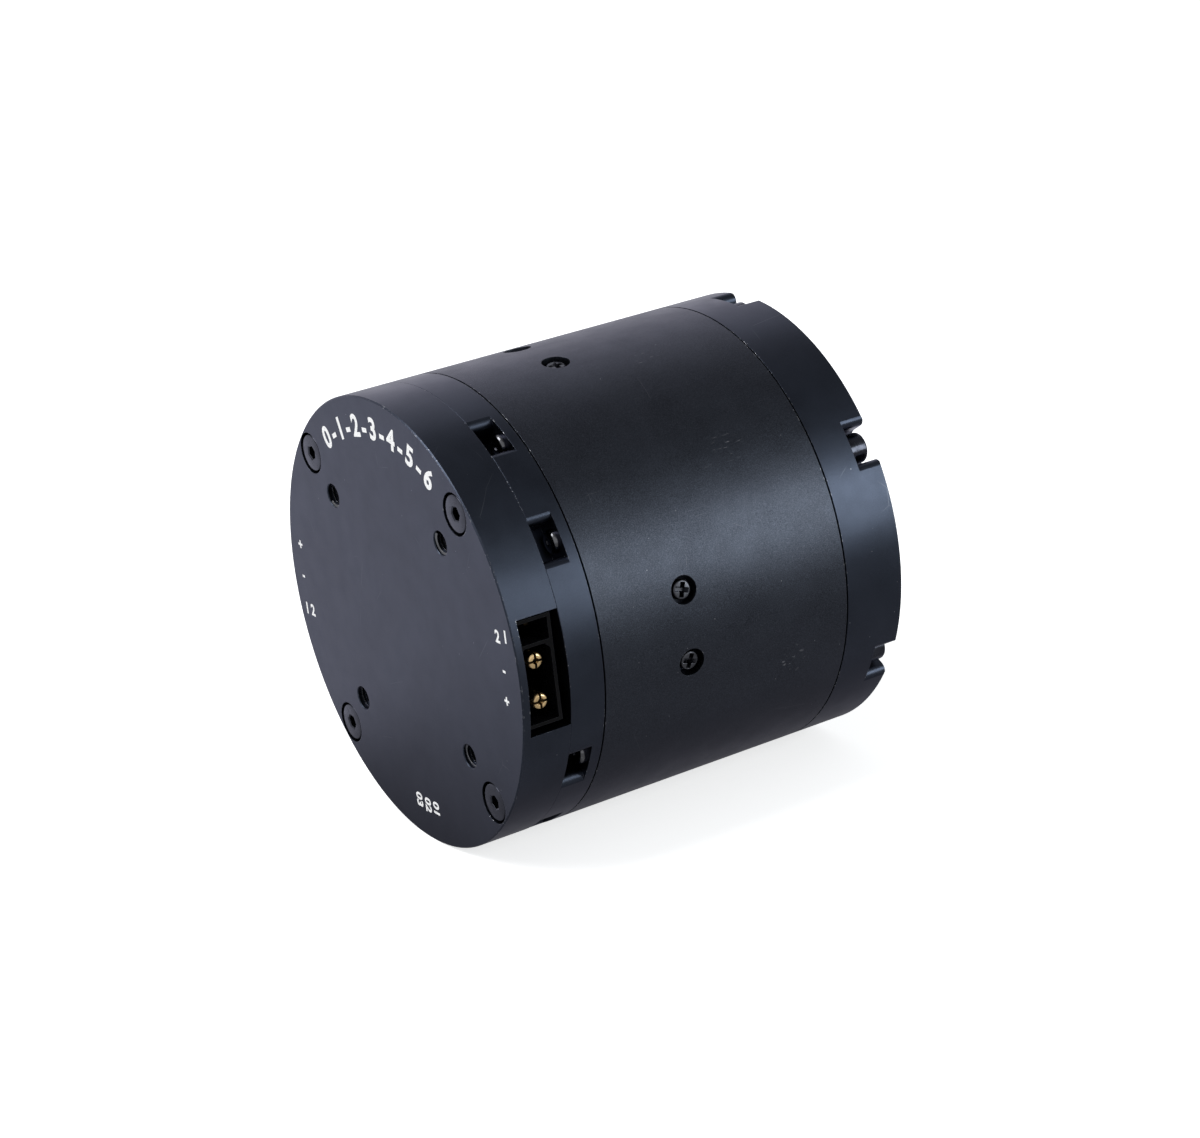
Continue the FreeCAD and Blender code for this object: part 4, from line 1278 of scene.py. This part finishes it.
@dataclass(frozen=True)
class Softbox:
    """A rectangular lamp that looks at the object; angles in degrees."""

    name: str
    azimuth: float
    elevation: float
    distance: float
    size: Point
    power: float
    colour: Colour = WHITE

    def build(self, target: Vector) -> None:
        """Hang the lamp; azimuth is counted from -Y towards +X.

        Args:
            target: the point that it looks at.
        """
        data = bpy.data.lights.new(self.name, "AREA")
        data.shape = "RECTANGLE"
        data.size, data.size_y = self.size
        data.energy = self.power
        data.color = self.colour
        lamp = placed(self.name, data)
        a, e = math.radians(self.azimuth), math.radians(self.elevation)
        away = Vector((math.sin(a) * math.cos(e), -math.cos(a) * math.cos(e), math.sin(e)))
        lamp.location = target + away * self.distance
        lamp.rotation_euler = away.to_track_quat("Z", "Y").to_euler()


@dataclass(frozen=True)
class Card:
    """Dark card that the glossy metal reflects, which throws no shadow and isn't seen itself."""

    name: str
    centre: Triple
    facing: Triple
    size: Point
    tone: float
    fade: float = 0.02

    def paint(self) -> Material:
        """Plain dull glow that thins out towards the card's edges.

        Returns:
            The card's material.
        """
        shader = Shader(self.name)
        glow = shader.add("ShaderNodeEmission", {"Strength": self.tone})
        clear = shader.add("ShaderNodeBsdfTransparent")
        wide, high = self.size
        spot = shader.add("ShaderNodeSeparateXYZ", {0: shader.stretched((2.0 / wide, 2.0 / high, 0.0))})
        sides = [shader.maths("ABSOLUTE", spot.outputs[axis]) for axis in "XY"]
        share = shader.level(shader.maths("MAXIMUM", *sides), (1.0 - self.fade, 1.0), FALL)
        surface = shader.tree.nodes["Material Output"].inputs["Surface"]
        shader.join(shader.mixed(share, clear.outputs[0], glow.outputs[0]), surface)
        return shader.material

    def build(self) -> None:
        """Stand the card."""
        wide, high = self.size[0] / 2, self.size[1] / 2
        corners = [(-wide, -high, 0), (wide, -high, 0), (wide, high, 0), (-wide, high, 0)]
        mesh = bpy.data.meshes.new(self.name)
        mesh.from_pydata(corners, [], [(0, 1, 2, 3)])
        mesh.materials.append(self.paint())
        card = placed(self.name, mesh)
        turn = Vector(self.facing).to_track_quat("Z", "Y").to_matrix().to_4x4()
        card.matrix_world = Matrix.Translation(Vector(self.centre)) @ turn
        card.visible_camera = False
        card.visible_shadow = False
        card.visible_diffuse = False


class StageTree(NodeTree):
    """Node tree of the world or the floor, which looks brighter than the light that it gives."""

    def __init__(self, holder: bpy.types.ID) -> None:
        """Empty the holder's tree.

        Args:
            holder: the world, or the floor's material.
        """
        holder.use_nodes = True
        super().__init__(holder.node_tree)
        self.tree.nodes.clear()

    def looks(self, camera: float, gloss: float) -> Socket:
        """Value that depends on which ray looks.

        Args:
            camera: value for camera rays.
            gloss: value for glossy and transmission rays; all others get 0.

        Returns:
            The value's socket.
        """
        path = self.add("ShaderNodeLightPath").outputs
        total = self.maths("MULTIPLY", path["Is Camera Ray"], camera)
        for name in ("Is Glossy Ray", "Is Transmission Ray"):
            total = self.maths("ADD", self.maths("MULTIPLY", path[name], gloss), total)
        return total


@dataclass(frozen=True)
class Studio:
    """Camera, lamps, world and floor."""

    focal_pixels: float = 3146.6
    image_size: tuple[int, int] = (1200, 1138)
    principal_point: Point = (603.3, 571.9)
    sensor_width: float = 36.0
    nearest: float = 0.01
    camera_spot: Triple = (-0.15744, -0.32324, 0.12949)
    camera_right: Triple = (0.84013, -0.53052, -0.11279)
    camera_down: Triple = (-0.26799, -0.22524, -0.93672)
    world_light: float = 0.4
    world_colour: Colour = (0.93, 0.96, 1.0)
    floor_colour: Colour = (0.80, 0.80, 0.80)
    floor_height: float = -0.0285
    floor_radius: float = 4.0
    floor_sides: int = 64
    glow_to_camera: float = 0.7
    glow_to_gloss: float = 0.2
    aim: Triple = (0.027, 0.0, 0.0)
    lamps: tuple[Softbox, ...] = (
        Softbox("key", 39.5, 12.0, 0.9, (0.27, 0.52), 4.4, (0.94, 1.0, 1.0)),
        Softbox("left_top", -105.0, 55.0, 1.2, (0.7, 0.7), 13.0),
    )
    cards: tuple[Card, ...] = (
        Card("upper_card", (0.25, -0.16, 0.42), (-0.5, 0.32, -0.84), (0.75, 0.62), 0.34),
        Card("lower_card", (0.05, -0.33, -0.0275), (0.0, 0.0, 1.0), (0.80, 0.60), 0.50),
        # Painted shadow: a dark sheet under the barrel, seen only in reflections, stands in for the floor's
        # shade beneath it
        Card("near_card", (0.028, 0.0, -0.02845), (0.0, 0.0, 1.0), (0.13, 0.10), 0.26, 0.6),
    )

    def build(self) -> None:
        """Make the whole studio."""
        self.camera()
        self.world()
        self.floor()
        for lamp in self.lamps:
            lamp.build(Vector(self.aim))
        for card in self.cards:
            card.build()
        bpy.context.scene.view_settings.view_transform = "Standard"

    def camera(self) -> None:
        """Stand the camera where the photograph was taken from."""
        data = bpy.data.cameras.new("camera")
        width, height = self.image_size
        data.sensor_width = self.sensor_width
        data.lens = self.focal_pixels / width * data.sensor_width
        data.shift_x = (width / 2 - self.principal_point[0]) / width
        data.shift_y = (self.principal_point[1] - height / 2) / width
        data.clip_start = self.nearest
        camera = placed("camera", data)
        right = Vector(self.camera_right).normalized()
        up = -Vector(self.camera_down)
        up = (up - right * up.dot(right)).normalized()
        turn = Matrix((right, up, right.cross(up))).transposed().to_4x4()
        camera.matrix_world = Matrix.Translation(Vector(self.camera_spot)) @ turn
        bpy.context.scene.camera = camera

    def world(self) -> None:
        """White to look at, a plain soft level as light."""
        world = bpy.data.worlds.new("studio")
        bpy.context.scene.world = world
        tree = StageTree(world)
        inputs = {"Color": (*self.world_colour, 1.0), "Strength": self.world_light}
        light = tree.add("ShaderNodeBackground", inputs)
        white = tree.add("ShaderNodeBackground", {"Color": (*WHITE, 1.0)})
        both = tree.mixed(tree.looks(1.0, 1.0), light.outputs[0], white.outputs[0])
        tree.add("ShaderNodeOutputWorld", {"Surface": both})

    def floor(self) -> None:
        """Round pale floor that the barrel rests on."""
        material = bpy.data.materials.new("floor")
        tree = StageTree(material)
        strength = tree.looks(self.glow_to_camera, self.glow_to_gloss)
        glow = tree.add("ShaderNodeEmission", {"Color": (*WHITE, 1.0), "Strength": strength})
        paper = tree.add("ShaderNodeBsdfDiffuse", {"Color": (*self.floor_colour, 1.0)})
        both = tree.add("ShaderNodeAddShader", {0: paper.outputs[0], 1: glow.outputs[0]})
        tree.add("ShaderNodeOutputMaterial", {"Surface": both.outputs[0]})
        mesh = bpy.data.meshes.new("floor")
        reach, height, sides = self.floor_radius, self.floor_height, self.floor_sides
        turns = [2 * math.pi * i / sides for i in range(sides)]
        rim = [(reach * math.cos(a), reach * math.sin(a), height) for a in turns]
        mesh.from_pydata(rim, [], [tuple(range(sides))])
        mesh.materials.append(material)
        placed("floor", mesh)


def main() -> None:
    """Build the studio and dress the actuator."""
    logging.basicConfig(level=logging.INFO, format="%(name)s %(message)s")
    finishes = Finishes()
    finishes.dress_nodes()
    tree = RingTree()
    Fasteners().build(tree, finishes)
    PowerPins().build(finishes)
    Threads().build(tree, finishes)
    Marks().build(finishes)
    Studio().build()


if __name__ == "__main__":
    main()
